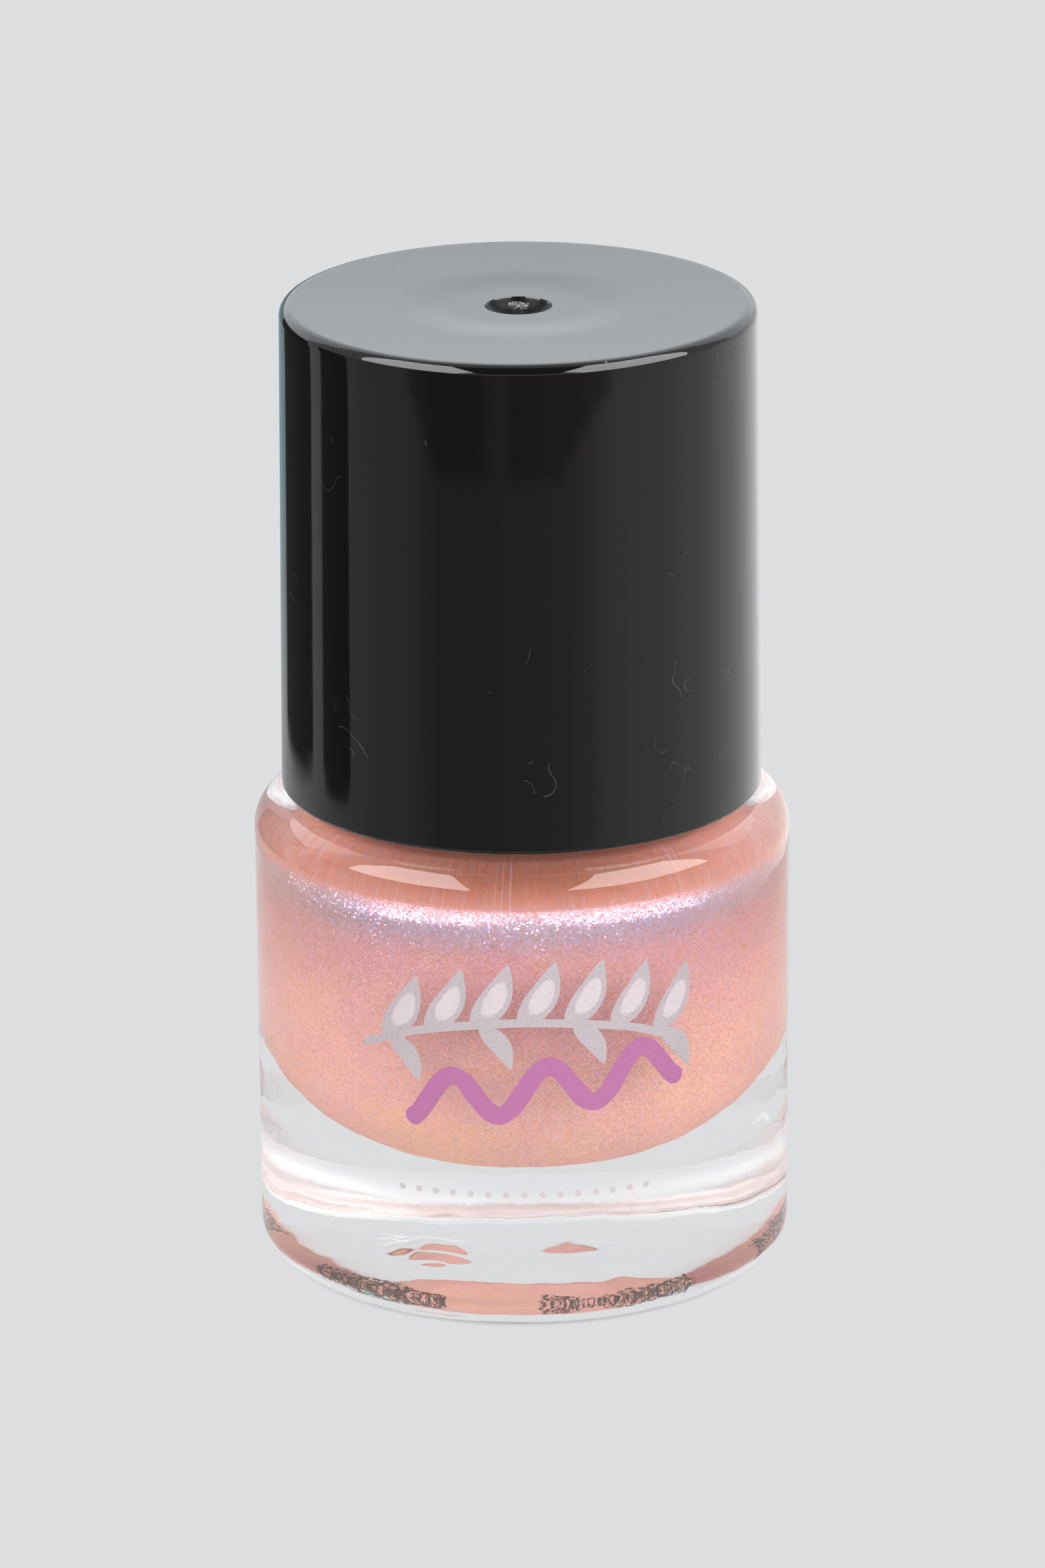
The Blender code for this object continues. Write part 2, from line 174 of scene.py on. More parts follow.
def finish_mesh(name, shape, material, smooth=True):
    """Turn a bmesh into a piece with a material and clean shading."""
    bmesh.ops.recalc_face_normals(shape, faces=shape.faces)
    piece = link_mesh(name, shape, material)
    if smooth:
        piece.data.shade_smooth()
        piece.data.set_sharp_from_angle(angle=SHARP_ANGLE)
        weighted = piece.modifiers.new("weighted_normals", "WEIGHTED_NORMAL")
        weighted.keep_sharp = True
    return piece


def polar(angle, radius=1.0, height=0.0):
    """The point at an angle about the bottle's axis."""
    return Vector((radius * math.cos(angle), radius * math.sin(angle), height))


def from_front(angle, radius, height):
    """The point at an angle from the bottle's front, counted towards the front's right."""
    return Vector((radius * math.sin(angle), -radius * math.cos(angle), height))


def lathe_into(shape, points, segments, shift=None):
    """Add a turned surface to a bmesh; shift(angle, point) gives what is added to radius and height."""
    rings = []
    for point in points:
        if point.x == 0.0:
            rings.append([shape.verts.new((0.0, 0.0, point.y))])
            continue
        ring = []
        for index in range(segments):
            angle = math.tau * index / segments
            outward, upward = shift(angle, point) if shift else (0.0, 0.0)
            ring.append(shape.verts.new(polar(angle, point.x + outward, point.y + upward)))
        rings.append(ring)
    pairs = list(zip(rings, rings[1:]))
    if points[0].x > 0.0:
        pairs.append((rings[-1], rings[0]))
    for upper, lower in pairs:
        for index in range(segments):
            after = (index + 1) % segments
            corners = ((upper, index), (lower, index), (lower, after), (upper, after))
            shape.faces.new(dict.fromkeys(ring[place_on % len(ring)] for ring, place_on in corners))


def lathe(name, points, material, segments=BODY_SEGMENTS, shift=None):
    """Make a piece that is turned about the Z axis."""
    shape = bmesh.new()
    lathe_into(shape, points, segments, shift)
    return finish_mesh(name, shape, material)


def heading(route, index):
    """The way a route runs at one of its points."""
    return route[min(index + 1, len(route) - 1)] - route[max(index - 1, 0)]


def join_rings(shape, rings):
    """Join rings of vertices into a tube with flat ends."""
    for lower, upper in zip(rings, rings[1:]):
        for side in range(len(lower)):
            after = (side + 1) % len(lower)
            shape.faces.new((lower[side], lower[after], upper[after], upper[side]))
    shape.faces.new(reversed(rings[0]))
    shape.faces.new(rings[-1])


def thread_rise(angle, height, start, turns, rise):
    """How far a right-handed screw thread stands out of its wall at one place."""
    first = angle / math.tau
    best = 0.0
    for lap in range(math.ceil(turns) + 1):
        turn = first + lap
        if turn > turns:
            break
        away = abs(height - (start + turn * PITCH))
        slope = (RIDGE_ROOT_WIDTH / 2 - away) / ((RIDGE_ROOT_WIDTH - RIDGE_CREST_WIDTH) / 2)
        run_out = min(1.0, turn / RIDGE_RUN_OUT_TURNS, (turns - turn) / RIDGE_RUN_OUT_TURNS)
        best = max(best, min(1.0, slope) * math.sin(run_out * math.pi / 2))
    return rise * smooth_step(best)


def smooth_step(share):
    """Ease from 0 to 1."""
    share = min(1.0, max(0.0, share))
    return share * share * (3 - 2 * share)


# ------------------------------------------------------------ material helpers


def new_material(name):
    """Make a material with an empty node tree; returns both."""
    material = bpy.data.materials.new(name)
    material.use_nodes = True
    material.node_tree.nodes.clear()
    return material, material.node_tree


def with_surface(material, shader):
    """Give a material its shader; returns the material."""
    tree = material.node_tree
    output = tree.nodes.new("ShaderNodeOutputMaterial")
    tree.links.new(shader.outputs[0], output.inputs["Surface"])
    return material


def add(tree, kind, sockets=None, **settings):
    """Add a node, set its options, and set or link its inputs."""
    made = tree.nodes.new("ShaderNode" + kind)
    for key, value in settings.items():
        setattr(made, key, value)
    for key, value in (sockets or {}).items():
        if isinstance(value, bpy.types.NodeSocket):
            tree.links.new(value, made.inputs[key])
        else:
            made.inputs[key].default_value = value
    return made


def place(tree):
    """The piece's own coordinates, in metres."""
    return add(tree, "TexCoord").outputs["Object"]


def position(tree):
    """The piece's own coordinates as three values: across, back and height."""
    apart = add(tree, "SeparateXYZ", {"Vector": place(tree)})
    return apart.outputs["X"], apart.outputs["Y"], apart.outputs["Z"]


def vector_length(tree, vector):
    """How long a vector is."""
    return add(tree, "VectorMath", {0: vector}, operation="LENGTH").outputs["Value"]


def axis_distance(tree, across, back):
    """Distance from the bottle's axis."""
    return vector_length(tree, add(tree, "CombineXYZ", {"X": across, "Y": back}).outputs[0])


def noise_texture(tree, scale, detail=2.0, roughness=0.5, distortion=0.0, vector=None):
    """The value of a noise texture whose features are about 1/scale metres across."""
    sockets = {
        "Vector": vector or place(tree),
        "Scale": scale,
        "Detail": detail,
        "Roughness": roughness,
        "Distortion": distortion,
    }
    return add(tree, "TexNoise", sockets).outputs["Fac"]


def cells(tree, scale):
    """A Voronoi texture whose cells are about 1/scale metres across."""
    return add(tree, "TexVoronoi", {"Vector": place(tree), "Scale": scale})


def ramp(tree, factor, *stops):
    """Map a factor to greys or colours by (position, value) stops; returns the colour output."""
    made = add(tree, "ValToRGB", {"Fac": factor})
    elements = made.color_ramp.elements
    while len(elements) < len(stops):
        elements.new(0.5)
    for element, (spot, value) in zip(elements, stops):
        element.position = spot
        element.color = grey(value) if isinstance(value, float) else value
    return made.outputs["Color"]


def grey(value):
    """A grey colour."""
    return (value, value, value, 1.0)


def map_range(tree, value, start, end, low=0.0, high=1.0, eased=False):
    """Map a value that runs from start to end onto low to high, and hold it outside."""
    sockets = {"Value": value, "From Min": start, "From Max": end, "To Min": low, "To Max": high}
    kind = "SMOOTHSTEP" if eased else "LINEAR"
    return add(tree, "MapRange", sockets, interpolation_type=kind).outputs[0]


def mix(tree, factor, first, second, blend="MIX"):
    """Mix two colours; returns the result."""
    made = add(tree, "Mix", data_type="RGBA", blend_type=blend)
    for socket, value in ((made.inputs[0], factor), (made.inputs[6], first), (made.inputs[7], second)):
        if isinstance(value, bpy.types.NodeSocket):
            tree.links.new(value, socket)
        else:
            socket.default_value = value
    return made.outputs[2]


def principled(tree, color, roughness, **others):
    """A Principled shader; its further inputs are named with _ for each space."""
    sockets = {"Base Color": color, "Roughness": roughness}
    for key, value in others.items():
        sockets[key.replace("_", " ")] = value
    return add(tree, "BsdfPrincipled", sockets)


def mix_shaders(tree, share, first, second):
    """Mix two shaders; returns the node."""
    return add(tree, "MixShader", {0: share, 1: first.outputs[0], 2: second.outputs[0]})


def maths(tree, operation, first, second=0.0, third=0.0):
    """One arithmetic step; returns its value."""
    sockets = {0: first, 1: second}
    if operation in ("MULTIPLY_ADD", "COMPARE"):
        sockets[2] = third
    return add(tree, "Math", sockets, operation=operation).outputs[0]


def product(tree, value, *factors):
    """Multiply several values."""
    for factor in factors:
        value = maths(tree, "MULTIPLY", value, factor)
    return value


def bump(tree, height, distance, normal=None):
    """A bump from a height of 0 to 1; distance is the height's depth in metres."""
    sockets = {"Height": height, "Distance": distance}
    if normal:
        sockets["Normal"] = normal
    return add(tree, "Bump", sockets).outputs["Normal"]


# ------------------------------------------------------------------- materials


GLASS_COLOR = (0.985, 0.995, 0.992, 1.0)
GLASS_SHADOW = (0.96, 0.97, 0.97, 1.0)

# The arcs of stipple that the bottle's base is moulded with; their grains carry painted shade
STIPPLE_RADIUS = 9.35 * MM
STIPPLE_WIDTH = 1.1 * MM
STIPPLE_FRAY = 2.4 * MM
STIPPLE_TOP = 1.3 * MM
STIPPLE_ARCS = 5
STIPPLE_TURN = math.radians(44)
STIPPLE_EDGE = -0.35
STIPPLE_GRAINS = 0.475
# Painted shade on the stipple grains: the shadowed floor seen through them
STIPPLE_SHADE_COLOR = (0.035, 0.028, 0.025, 1.0)

# The rubbed edge of the heel: how far back it starts, how much that wanders, and its ring
FROST_START = 7.5 * MM
FROST_WANDER = 8.0 * MM
FROST_RADIUS = 11.3 * MM
FROST_TOP = 1.9 * MM
FROST_ROUGHNESS = 0.38


def stipple_mask(tree):
    """Where the base is stippled: ragged arcs of a ring on its underside, broken into grains that get
    painted shade.
    """
    across, back, height = position(tree)
    ragged = maths(tree, "SUBTRACT", noise_texture(tree, 420.0, detail=4.0, roughness=0.7), 0.5)
    radius = maths(tree, "MULTIPLY_ADD", ragged, STIPPLE_FRAY, axis_distance(tree, across, back))
    on_ring = maths(tree, "COMPARE", radius, STIPPLE_RADIUS, STIPPLE_WIDTH / 2)
    angle = maths(tree, "ARCTAN2", across, maths(tree, "MULTIPLY", back, -1.0))
    turned = maths(tree, "MULTIPLY", maths(tree, "ADD", angle, STIPPLE_TURN), STIPPLE_ARCS)
    wave = maths(tree, "MULTIPLY_ADD", ragged, 1.2, maths(tree, "COSINE", turned))
    on_arc = maths(tree, "GREATER_THAN", wave, STIPPLE_EDGE)
    low_down = maths(tree, "LESS_THAN", height, STIPPLE_TOP)
    grains = noise_texture(tree, 4200.0, detail=4.0, roughness=0.8)
    grains = maths(tree, "GREATER_THAN", grains, STIPPLE_GRAINS)
    return product(tree, on_ring, on_arc, low_down, grains)


def heel_frost(tree):
    """Roughness of the glass: none, but for the rubbed edge of the heel at the bottle's back."""
    across, back, height = position(tree)
    patchy = maths(tree, "SUBTRACT", noise_texture(tree, 240.0, detail=3.0), 0.5)
    behind = maths(tree, "MULTIPLY_ADD", patchy, FROST_WANDER, back)
    behind = maths(tree, "GREATER_THAN", behind, FROST_START)
    outside = maths(tree, "GREATER_THAN", axis_distance(tree, across, back), FROST_RADIUS)
    low_down = maths(tree, "LESS_THAN", height, FROST_TOP)
    return product(tree, behind, FROST_ROUGHNESS, outside, low_down)


def clear_glass():
    """Bottle glass with the slight waviness of a moulded wall and painted shade on the stipple grains
    under its base; lamps shine through it.
    """
    material, tree = new_material("clear_glass")
    wavy = bump(tree, noise_texture(tree, 260.0, detail=1.5), 0.06 * MM)
    normal = bump(tree, noise_texture(tree, 1500.0), 0.002 * MM, normal=wavy)
    frost = heel_frost(tree)
    glass = principled(tree, GLASS_COLOR, frost, IOR=1.5, Transmission_Weight=1.0, Normal=normal)
    # Painted shade: a dark matt shader on the stipple grains
    stipple_shade = principled(tree, STIPPLE_SHADE_COLOR, 0.4)
    surface = mix_shaders(tree, stipple_mask(tree), glass, stipple_shade)
    clear = add(tree, "BsdfTransparent", {"Color": GLASS_SHADOW})
    shadow = add(tree, "LightPath").outputs["Is Shadow Ray"]
    return with_surface(material, mix_shaders(tree, shadow, surface, clear))


# Pearl polish: its body, its flakes, and the heights between which its look changes, with painted light
# low down and painted shade near the top
PEARL_BASE = (0.53, 0.230, 0.158, 1.0)
PEARL_BLUSH = (0.515, 0.210, 0.182, 1.0)
# Painted shade: the brown of the top band, under the cap
PEARL_BROWN_SHADE = (0.50, 0.160, 0.080, 1.0)
PEARL_STREAK = (0.66, 0.45, 0.56, 1.0)
# Painted light: low down the body's colour is multiplied by this, as if lit through the thick base
PEARL_PAINTED_LIGHT = (1.95, 2.35, 2.15, 1.0)
LILAC_FLAKE = (0.50, 0.30, 0.41, 1.0)
BLUE_FLAKE = (0.47, 0.56, 0.84, 1.0)
PEACH_FLAKE = (0.90, 0.56, 0.49, 1.0)
PAINTED_LIGHT_START, PAINTED_LIGHT_END = 19.0 * MM, 7.5 * MM
CROWN_START, CROWN_END = 18.8 * MM, 20.8 * MM
CROWN_SHADE = 0.64
SHEEN_START, SHEEN_END = 18.8 * MM, 21.2 * MM
BROWN_SHADE_START, BROWN_SHADE_END = 21.1 * MM, 22.15 * MM


def around_axis(tree, pitch):
    """Coordinates that wrap the bottle: angle times pitch, and a little of the height."""
    across, back, height = position(tree)
    around = maths(tree, "MULTIPLY", maths(tree, "ARCTAN2", across, back), pitch)
    along = maths(tree, "MULTIPLY", height, 60.0)
    return add(tree, "CombineXYZ", {"X": around, "Y": along}).outputs[0]


def pearl_body(tree, kind, height, top):
    """Colour under the shiny flakes: peach clouds, made lighter low down by painted light and darker
    higher up by painted shade, with painted brown shade and streaks at the top.
    """
    clouds = noise_texture(tree, 130.0, distortion=0.6)
    body = ramp(tree, clouds, (0.36, PEARL_BASE), (0.5, PEARL_BLUSH), (0.68, PEARL_BASE))
    shade = ramp(tree, kind.outputs[0], (0.0, 0.84), (1.0, 1.15))
    body = mix(tree, 1.0, body, shade, blend="MULTIPLY")
    lilac = ramp(tree, kind.outputs[1], (0.50, 0.0), (0.80, 0.42))
    body = mix(tree, lilac, body, LILAC_FLAKE)
    # Painted light: the body grows lighter low down
    glow = map_range(tree, height, PAINTED_LIGHT_START, PAINTED_LIGHT_END)
    body = mix(tree, glow, body, mix(tree, 1.0, body, PEARL_PAINTED_LIGHT, blend="MULTIPLY"))
    # Painted shade: the body's colour darkens towards the top
    crown = map_range(tree, height, CROWN_START, CROWN_END, 1.0, CROWN_SHADE, eased=True)
    body = mix(tree, 1.0, body, crown, blend="MULTIPLY")
    # Painted shade: the top band, under the cap, turns brown
    body = mix(tree, top, body, PEARL_BROWN_SHADE)
    wraps = around_axis(tree, 110.0)
    streaks = noise_texture(tree, 1.0, detail=3.0, roughness=0.8, vector=wraps)
    streaks = ramp(tree, streaks, (0.53, 0.0), (0.72, 0.62))
    broken = ramp(tree, noise_texture(tree, 800.0), (0.42, 0.15), (0.58, 1.0))
    return mix(tree, product(tree, streaks, broken, top), body, PEARL_STREAK)


def flake_normal(tree, flakes, kind):
    """Shading normal in which each flake leans its own way, and a few lean far."""
    steep = ramp(tree, kind.outputs[0], (0.74, 0.10), (0.86, 0.50))
    centred = {0: flakes.outputs["Color"], 1: (0.5, 0.5, 0.5)}
    lean = add(tree, "VectorMath", centred, operation="SUBTRACT")
    lean = add(tree, "VectorMath", {0: lean.outputs[0], "Scale": steep}, operation="SCALE")
    normal = add(tree, "NewGeometry").outputs["Normal"]
    tilted = add(tree, "VectorMath", {0: normal, 1: lean.outputs[0]}, operation="ADD")
    return add(tree, "VectorMath", {0: tilted.outputs[0]}, operation="NORMALIZE").outputs[0]


def pearl(tree):
    """Pearl polish: a peach body under mica flakes that turn from blue to peach; returns the shader."""
    flakes = cells(tree, 13000.0)
    kind = add(tree, "SeparateColor", {"Color": flakes.outputs["Color"]})
    height = position(tree)[2]
    # The top band, which carries the painted brown shade, the streaks and fewer shiny flakes
    top = map_range(tree, height, BROWN_SHADE_START, BROWN_SHADE_END, eased=True)
    sparkle = map_range(tree, height, SHEEN_START, SHEEN_END, 0.12, 0.44, eased=True)
    shiny = ramp(tree, kind.outputs[2], (0.25, 0.35), (0.80, 1.0))
    shiny = product(tree, shiny, sparkle, maths(tree, "MULTIPLY_ADD", top, -0.68, 1.0))
    facing = add(tree, "LayerWeight", {"Blend": 0.5}).outputs["Facing"]
    flake = ramp(tree, facing, (0.12, BLUE_FLAKE), (0.38, PEACH_FLAKE))
    color = mix(tree, shiny, pearl_body(tree, kind, height, top), flake)
    normal = flake_normal(tree, flakes, kind)
    return principled(tree, color, 0.20, Metallic=shiny, Specular_IOR_Level=0.0, Normal=normal)


def pearl_polish():
    """Pearl polish seen through the glass."""
    material, tree = new_material("pearl_polish")
    return with_surface(material, pearl(tree))


def wet_pearl():
    """The same polish as a wet film in the open air."""
    material, tree = new_material("wet_pearl")
    shader = pearl(tree)
    shader.inputs["Coat Weight"].default_value = 1.0
    shader.inputs["Coat Roughness"].default_value = 0.04
    return with_surface(material, shader)


# The cap's gloss black, its dirt, and the bowl of its dimple
GLOSS_COLOR = (0.0010, 0.0010, 0.0012, 1.0)
DIRT_COLOR = (0.10, 0.105, 0.11, 1.0)
BOWL_EDGE = 1.78 * MM
BOWL_EDGE_WANDER = 0.3 * MM
BOWL_BACK = 0.8 * MM
DIRT_HEIGHT = 0.012 * MM


def specks(tree, scale, size, share):
    """A mask of small round specks: size is their radius as a share of a cell, share how many cells."""
    spots = cells(tree, scale)
    chosen = add(tree, "SeparateColor", {"Color": spots.outputs["Color"]})
    near = maths(tree, "LESS_THAN", spots.outputs["Distance"], size)
    picked = maths(tree, "LESS_THAN", chosen.outputs[0], share)
    return product(tree, near, picked)


def fibres(tree, scale, width, share):
    """A mask of thin curly lines, in a few places only."""
    line = maths(tree, "COMPARE", noise_texture(tree, scale, detail=0.0), 0.5, width)
    patch = noise_texture(tree, scale * 0.55, detail=0.0)
    return product(tree, line, maths(tree, "GREATER_THAN", patch, share))


def gloss_black():
    """Moulded gloss black with handling scuffs, dust and lint, and a dull bowl round the gate stub."""
    material, tree = new_material("gloss_black")
    scuff = noise_texture(tree, 900.0, detail=5.0, roughness=0.7, distortion=1.5)
    smear = noise_texture(tree, 90.0, detail=3.0)
    across, back, _ = position(tree)
    radius = maths(tree, "MULTIPLY_ADD", smear, BOWL_EDGE_WANDER, axis_distance(tree, across, back))
    in_bowl = maths(tree, "LESS_THAN", radius, BOWL_EDGE)
    behind = map_range(tree, back, 0.0, BOWL_BACK, 0.0, 0.40)
    dust = maths(tree, "MAXIMUM", specks(tree, 500.0, 0.035, 0.14), specks(tree, 1300.0, 0.045, 0.04))
    dirt = maths(tree, "MAXIMUM", dust, product(tree, fibres(tree, 700.0, 0.0035, 0.72), 0.45))
    roughness = map_range(tree, product(tree, scuff, smear), 0.25, 0.42, 0.035, 0.10)
    roughness = mix(tree, in_bowl, roughness, grey(0.36))
    roughness = mix(tree, dirt, roughness, grey(0.6))
    color = mix(tree, dirt, GLOSS_COLOR, DIRT_COLOR)
    shine = maths(tree, "SUBTRACT", 0.5, product(tree, in_bowl, behind))
    ripple = bump(tree, noise_texture(tree, 170.0, detail=1.0), 0.012 * MM)
    normal = bump(tree, dirt, DIRT_HEIGHT, normal=ripple)
    shader = principled(tree, color, roughness, IOR=1.5, Specular_IOR_Level=shine, Normal=normal)
    return with_surface(material, shader)


def torn_plastic():
    """Stress-whitened black plastic, for the snapped end of the gate."""
    material, tree = new_material("torn_plastic")
    tears = noise_texture(tree, 5200.0, detail=4.0, roughness=0.7)
    near_top = map_range(tree, position(tree)[2], CAP_HIGH.z - 0.36 * MM, CAP_HIGH.z - 0.12 * MM)
    white = product(tree, near_top, ramp(tree, tears, (0.47, 0.0), (0.60, 1.0)))
    color = mix(tree, white, (0.010, 0.009, 0.009, 1.0), (0.42, 0.42, 0.43, 1.0))
    normal = bump(tree, tears, 0.05 * MM)
    return with_surface(material, principled(tree, color, 0.45, Normal=normal))


def moulded_plastic(name, color, lighter, roughness):
    """Satin moulded plastic with a faint grain."""
    material, tree = new_material(name)
    mottle = noise_texture(tree, 700.0, detail=3.0)
    shade = ramp(tree, mottle, (0.3, (*color, 1.0)), (0.75, (*lighter, 1.0)))
    rough = ramp(tree, mottle, (0.3, roughness - 0.06), (0.7, roughness + 0.08))
    normal = bump(tree, noise_texture(tree, 5200.0), 0.004 * MM)
    return with_surface(material, principled(tree, shade, rough, Normal=normal))


def metal(name, color, darker, roughness):
    """Bright drawn metal with fine streaks."""
    material, tree = new_material(name)
    streaks = noise_texture(tree, 2600.0, detail=4.0)
    shade = ramp(tree, streaks, (0.3, (*darker, 1.0)), (0.7, (*color, 1.0)))
    rough = ramp(tree, streaks, (0.3, roughness * 0.7), (0.7, roughness * 1.4))
    return with_surface(material, principled(tree, shade, rough, Metallic=1.0))


def print_ink(name, color, thin):
    """Screen-printed ink: matt, slightly grainy, and thinner here and there."""
    material, tree = new_material(name)
    grain = noise_texture(tree, 9000.0, roughness=0.7)
    shade = ramp(tree, grain, (0.36, (*thin, 1.0)), (0.55, (*color, 1.0)))
    normal = bump(tree, grain, 0.004 * MM)
    return with_surface(material, principled(tree, shade, 0.55, Normal=normal))


# ---------------------------------------------------------------------- pieces


def bowl(outset):
    """The chamber's rounded bottom as corners, from its floor up to its wall, moved out by outset."""
    corners = []
    for step in range(BOWL_STEPS + 1):
        turn = math.pi / 2 * step / BOWL_STEPS
        radius = CHAMBER_RADIUS + outset - BOWL_REACH * (1 - math.sin(turn))
        height = FLOOR_HEIGHT - outset + BOWL_HEIGHT * (1 - math.cos(turn))
        corners.append((radius, height, 0.0))
    return corners


def glass_profile():
    """The bottle's profile, from the middle of its floor over the lip to the middle of its punt."""
    lip = GLASS_HIGH.z
    corners = [
        (0.0, FLOOR_HEIGHT, 0.0),
        *bowl(0.0),
        (CHAMBER_RADIUS, CHAMBER_TOP, CHAMBER_ROUNDING),
        (NECK_BORE_RADIUS, CHAMBER_TOP, CHAMBER_ROUNDING),
        (NECK_BORE_RADIUS, lip, LIP_ROUNDING),
        (NECK_RADIUS, lip, LIP_ROUNDING),
        (NECK_RADIUS, SHOULDER_HEIGHT, NECK_FOOT_ROUNDING),
        (BODY_RADIUS, SHOULDER_EDGE_HEIGHT, SHOULDER_ROUNDING),
        (BODY_RADIUS - BODY_NARROWING, 0.0, HEEL_ROUNDING),
        (PUNT_RADIUS, 0.0, 0.0),
    ]
    for step in range(1, PUNT_STEPS + 1):
        share = 1 - step / PUNT_STEPS
        corners.append((PUNT_RADIUS * share, PUNT_DEPTH * (1 - share**PUNT_FLATNESS), 0.0))
    return rounded(corners)


# In millimetres: marks that the mould leaves under the base, as place across and back, half width,
# half length and depth; then the ring of the heel's grain, and where the heel's swell starts
MOULD_MARKS = [(-3.2, -1.0, 2.3, 3.4, 0.62), (1.5, -0.1, 1.5, 1.5, 0.42)]
HEEL_RING, HEEL_RING_WIDTH = 11.6, 0.7
HEEL_START, HEEL_REACH = 10.4, 1.2

UNDERSIDE_TOP = 2.2 * MM
PUNT_WAVE = 0.03 * MM
HEEL_WAVE = 0.13 * MM
UNDERSIDE_GRAIN = 0.035 * MM
BACK_GRAIN = 0.22 * MM


def underside_lift(angle, point):
    """How far the moulded underside stands above its ideal surface at one place."""
    spot = polar(angle, point.x, point.y) / MM
    wave = 0.5 + 0.5 * noise.noise(spot * 0.33) + 0.25 * noise.noise(spot * 0.9)
    ring = math.exp(-(((point.x / MM - HEEL_RING) / HEEL_RING_WIDTH) ** 2))
    grain = max(0.0, noise.noise(spot * 3.1 + Vector((7.0, 3.0, 1.0)))) * ring
    grain *= UNDERSIDE_GRAIN + BACK_GRAIN * smooth_step(spot.y / 9.0 + 0.35)
    fade = 1 - smooth_step(point.y / UNDERSIDE_TOP) if point.x > PUNT_RADIUS else 1.0
    on_heel = smooth_step((point.x / MM - HEEL_START) / HEEL_REACH)
    swell = PUNT_WAVE + (HEEL_WAVE - PUNT_WAVE) * on_heel
    lift = (swell * wave + grain) * fade
    ragged = 0.16 * noise.noise(spot * 1.3)
    for across, back, half_width, half_length, depth in MOULD_MARKS:
        away = math.hypot((spot.x - across) / half_width, (spot.y - back) / half_length)
        lift += depth * MM * smooth_step(1.0 - away + ragged)
    return lift


def make_glass(material):
    """The clear bottle with its threaded neck."""
    neck_foot = SHOULDER_HEIGHT + 1.0 * MM

    def longest(point):
        if point.y < UNDERSIDE_TOP:
            return UNDERSIDE_STEP
        on_neck = point.x > NECK_BORE_RADIUS + 1.0 * MM and point.y > neck_foot
        return NECK_STEP if on_neck else PLAIN_STEP

    def shift(angle, point):
        if point.y < UNDERSIDE_TOP:
            return (0.0, underside_lift(angle, point))
        if point.x < NECK_RADIUS - HAIR or point.y < neck_foot:
            return (0.0, 0.0)
        return (thread_rise(angle, point.y, NECK_THREAD_START, NECK_THREAD_TURNS, NECK_THREAD_RISE), 0.0)

    glass = lathe("bottle_glass", refined(glass_profile(), longest), material, shift=shift)
    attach(glass, "bottle")
    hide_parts("glass_bottle")


def make_polish(material):
    """The polish, which bites a hair into the glass so that no air shows between them."""
    bore = NECK_BORE_RADIUS + POLISH_BITE
    wall = CHAMBER_RADIUS + POLISH_BITE
    corners = [
        (0.0, POLISH_LEVEL - MENISCUS, 0.0),
        (bore - 1.2 * MM, POLISH_LEVEL - MENISCUS, 0.9 * MM),
        (bore, POLISH_LEVEL, 0.0),
        (bore, CHAMBER_TOP + POLISH_BITE, CHAMBER_ROUNDING),
        (wall, CHAMBER_TOP + POLISH_BITE, CHAMBER_ROUNDING),
        *reversed(bowl(POLISH_BITE)),
        (0.0, FLOOR_HEIGHT - POLISH_BITE, 0.0),
    ]
    polish = lathe("pearl_fill", refined(rounded(corners)), material)
    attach(polish, "bottle")
    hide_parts("polish_fill")


def make_balls(material):
    """The two steel mixing balls."""
    for index in (1, 2):
        node = f"mixing_ball_{index}"
        low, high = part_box(node)
        shape = bmesh.new()
        bmesh.ops.create_icosphere(shape, subdivisions=4, radius=(high.z - low.z) / 2)
        bmesh.ops.translate(shape, vec=(low + high) / 2, verts=shape.verts)
        ball = finish_mesh(f"steel_ball_{index}", shape, material)
        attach(ball, f"ball_{index}")
        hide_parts(node)


def make_liner(material):
    """The soft washer, with the glass lip's ring pressed into its underside."""
    low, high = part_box("sealing_liner")
    hole = 2.35 * MM
    edge = 0.12 * MM
    ring_middle = (NECK_RADIUS + NECK_BORE_RADIUS) / 2
    corners = [
        (hole, high.z, edge),
        (high.x, high.z, edge),
        (high.x, low.z, edge),
        (ring_middle + 0.5 * MM, low.z, 0.0),
        (ring_middle, low.z + 0.12 * MM, 0.0),
        (ring_middle - 0.5 * MM, low.z, 0.0),
        (hole, low.z, edge),
    ]
    liner = lathe("foam_liner", rounded(corners), material, SMALL_SEGMENTS)
    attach(liner, "liner")
    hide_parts("sealing_liner")


def make_stem(material):
    """The brush's rod with its flange, barbed plug and blind hole."""
    flange_bottom = LINER_HIGH.z + PART_GAP
    flange_top = flange_bottom + 1.0 * MM
    barb_bottom = INNER_HIGH.z + PART_GAP
    plug_radius = 2.2 * MM
    hole_radius = 1.1 * MM
    hole_top = STEM_LOW.z + 4.2 * MM
    corners = [
        (0.0, STEM_HIGH.z, 0.0),
        (1.7 * MM, STEM_HIGH.z, 0.15 * MM),
        (2.8 * MM, barb_bottom, 0.0),
        (plug_radius, barb_bottom, 0.0),
        (plug_radius, flange_top, 0.15 * MM),
        (STEM_HIGH.x, flange_top, 0.2 * MM),
        (STEM_HIGH.x, flange_bottom, 0.2 * MM),
        (1.95 * MM, flange_bottom, 0.3 * MM),
        (1.6 * MM, STEM_LOW.z, 0.25 * MM),
        (hole_radius, STEM_LOW.z, 0.1 * MM),
        (hole_radius, hole_top, 0.0),
        (0.0, hole_top, 0.0),
    ]
    points = refined(rounded(corners), lambda point: 1.0 * MM)
    stem = lathe("stem_rod", points, material, SMALL_SEGMENTS)
    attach(stem, "brush")
    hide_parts("brush_stem")


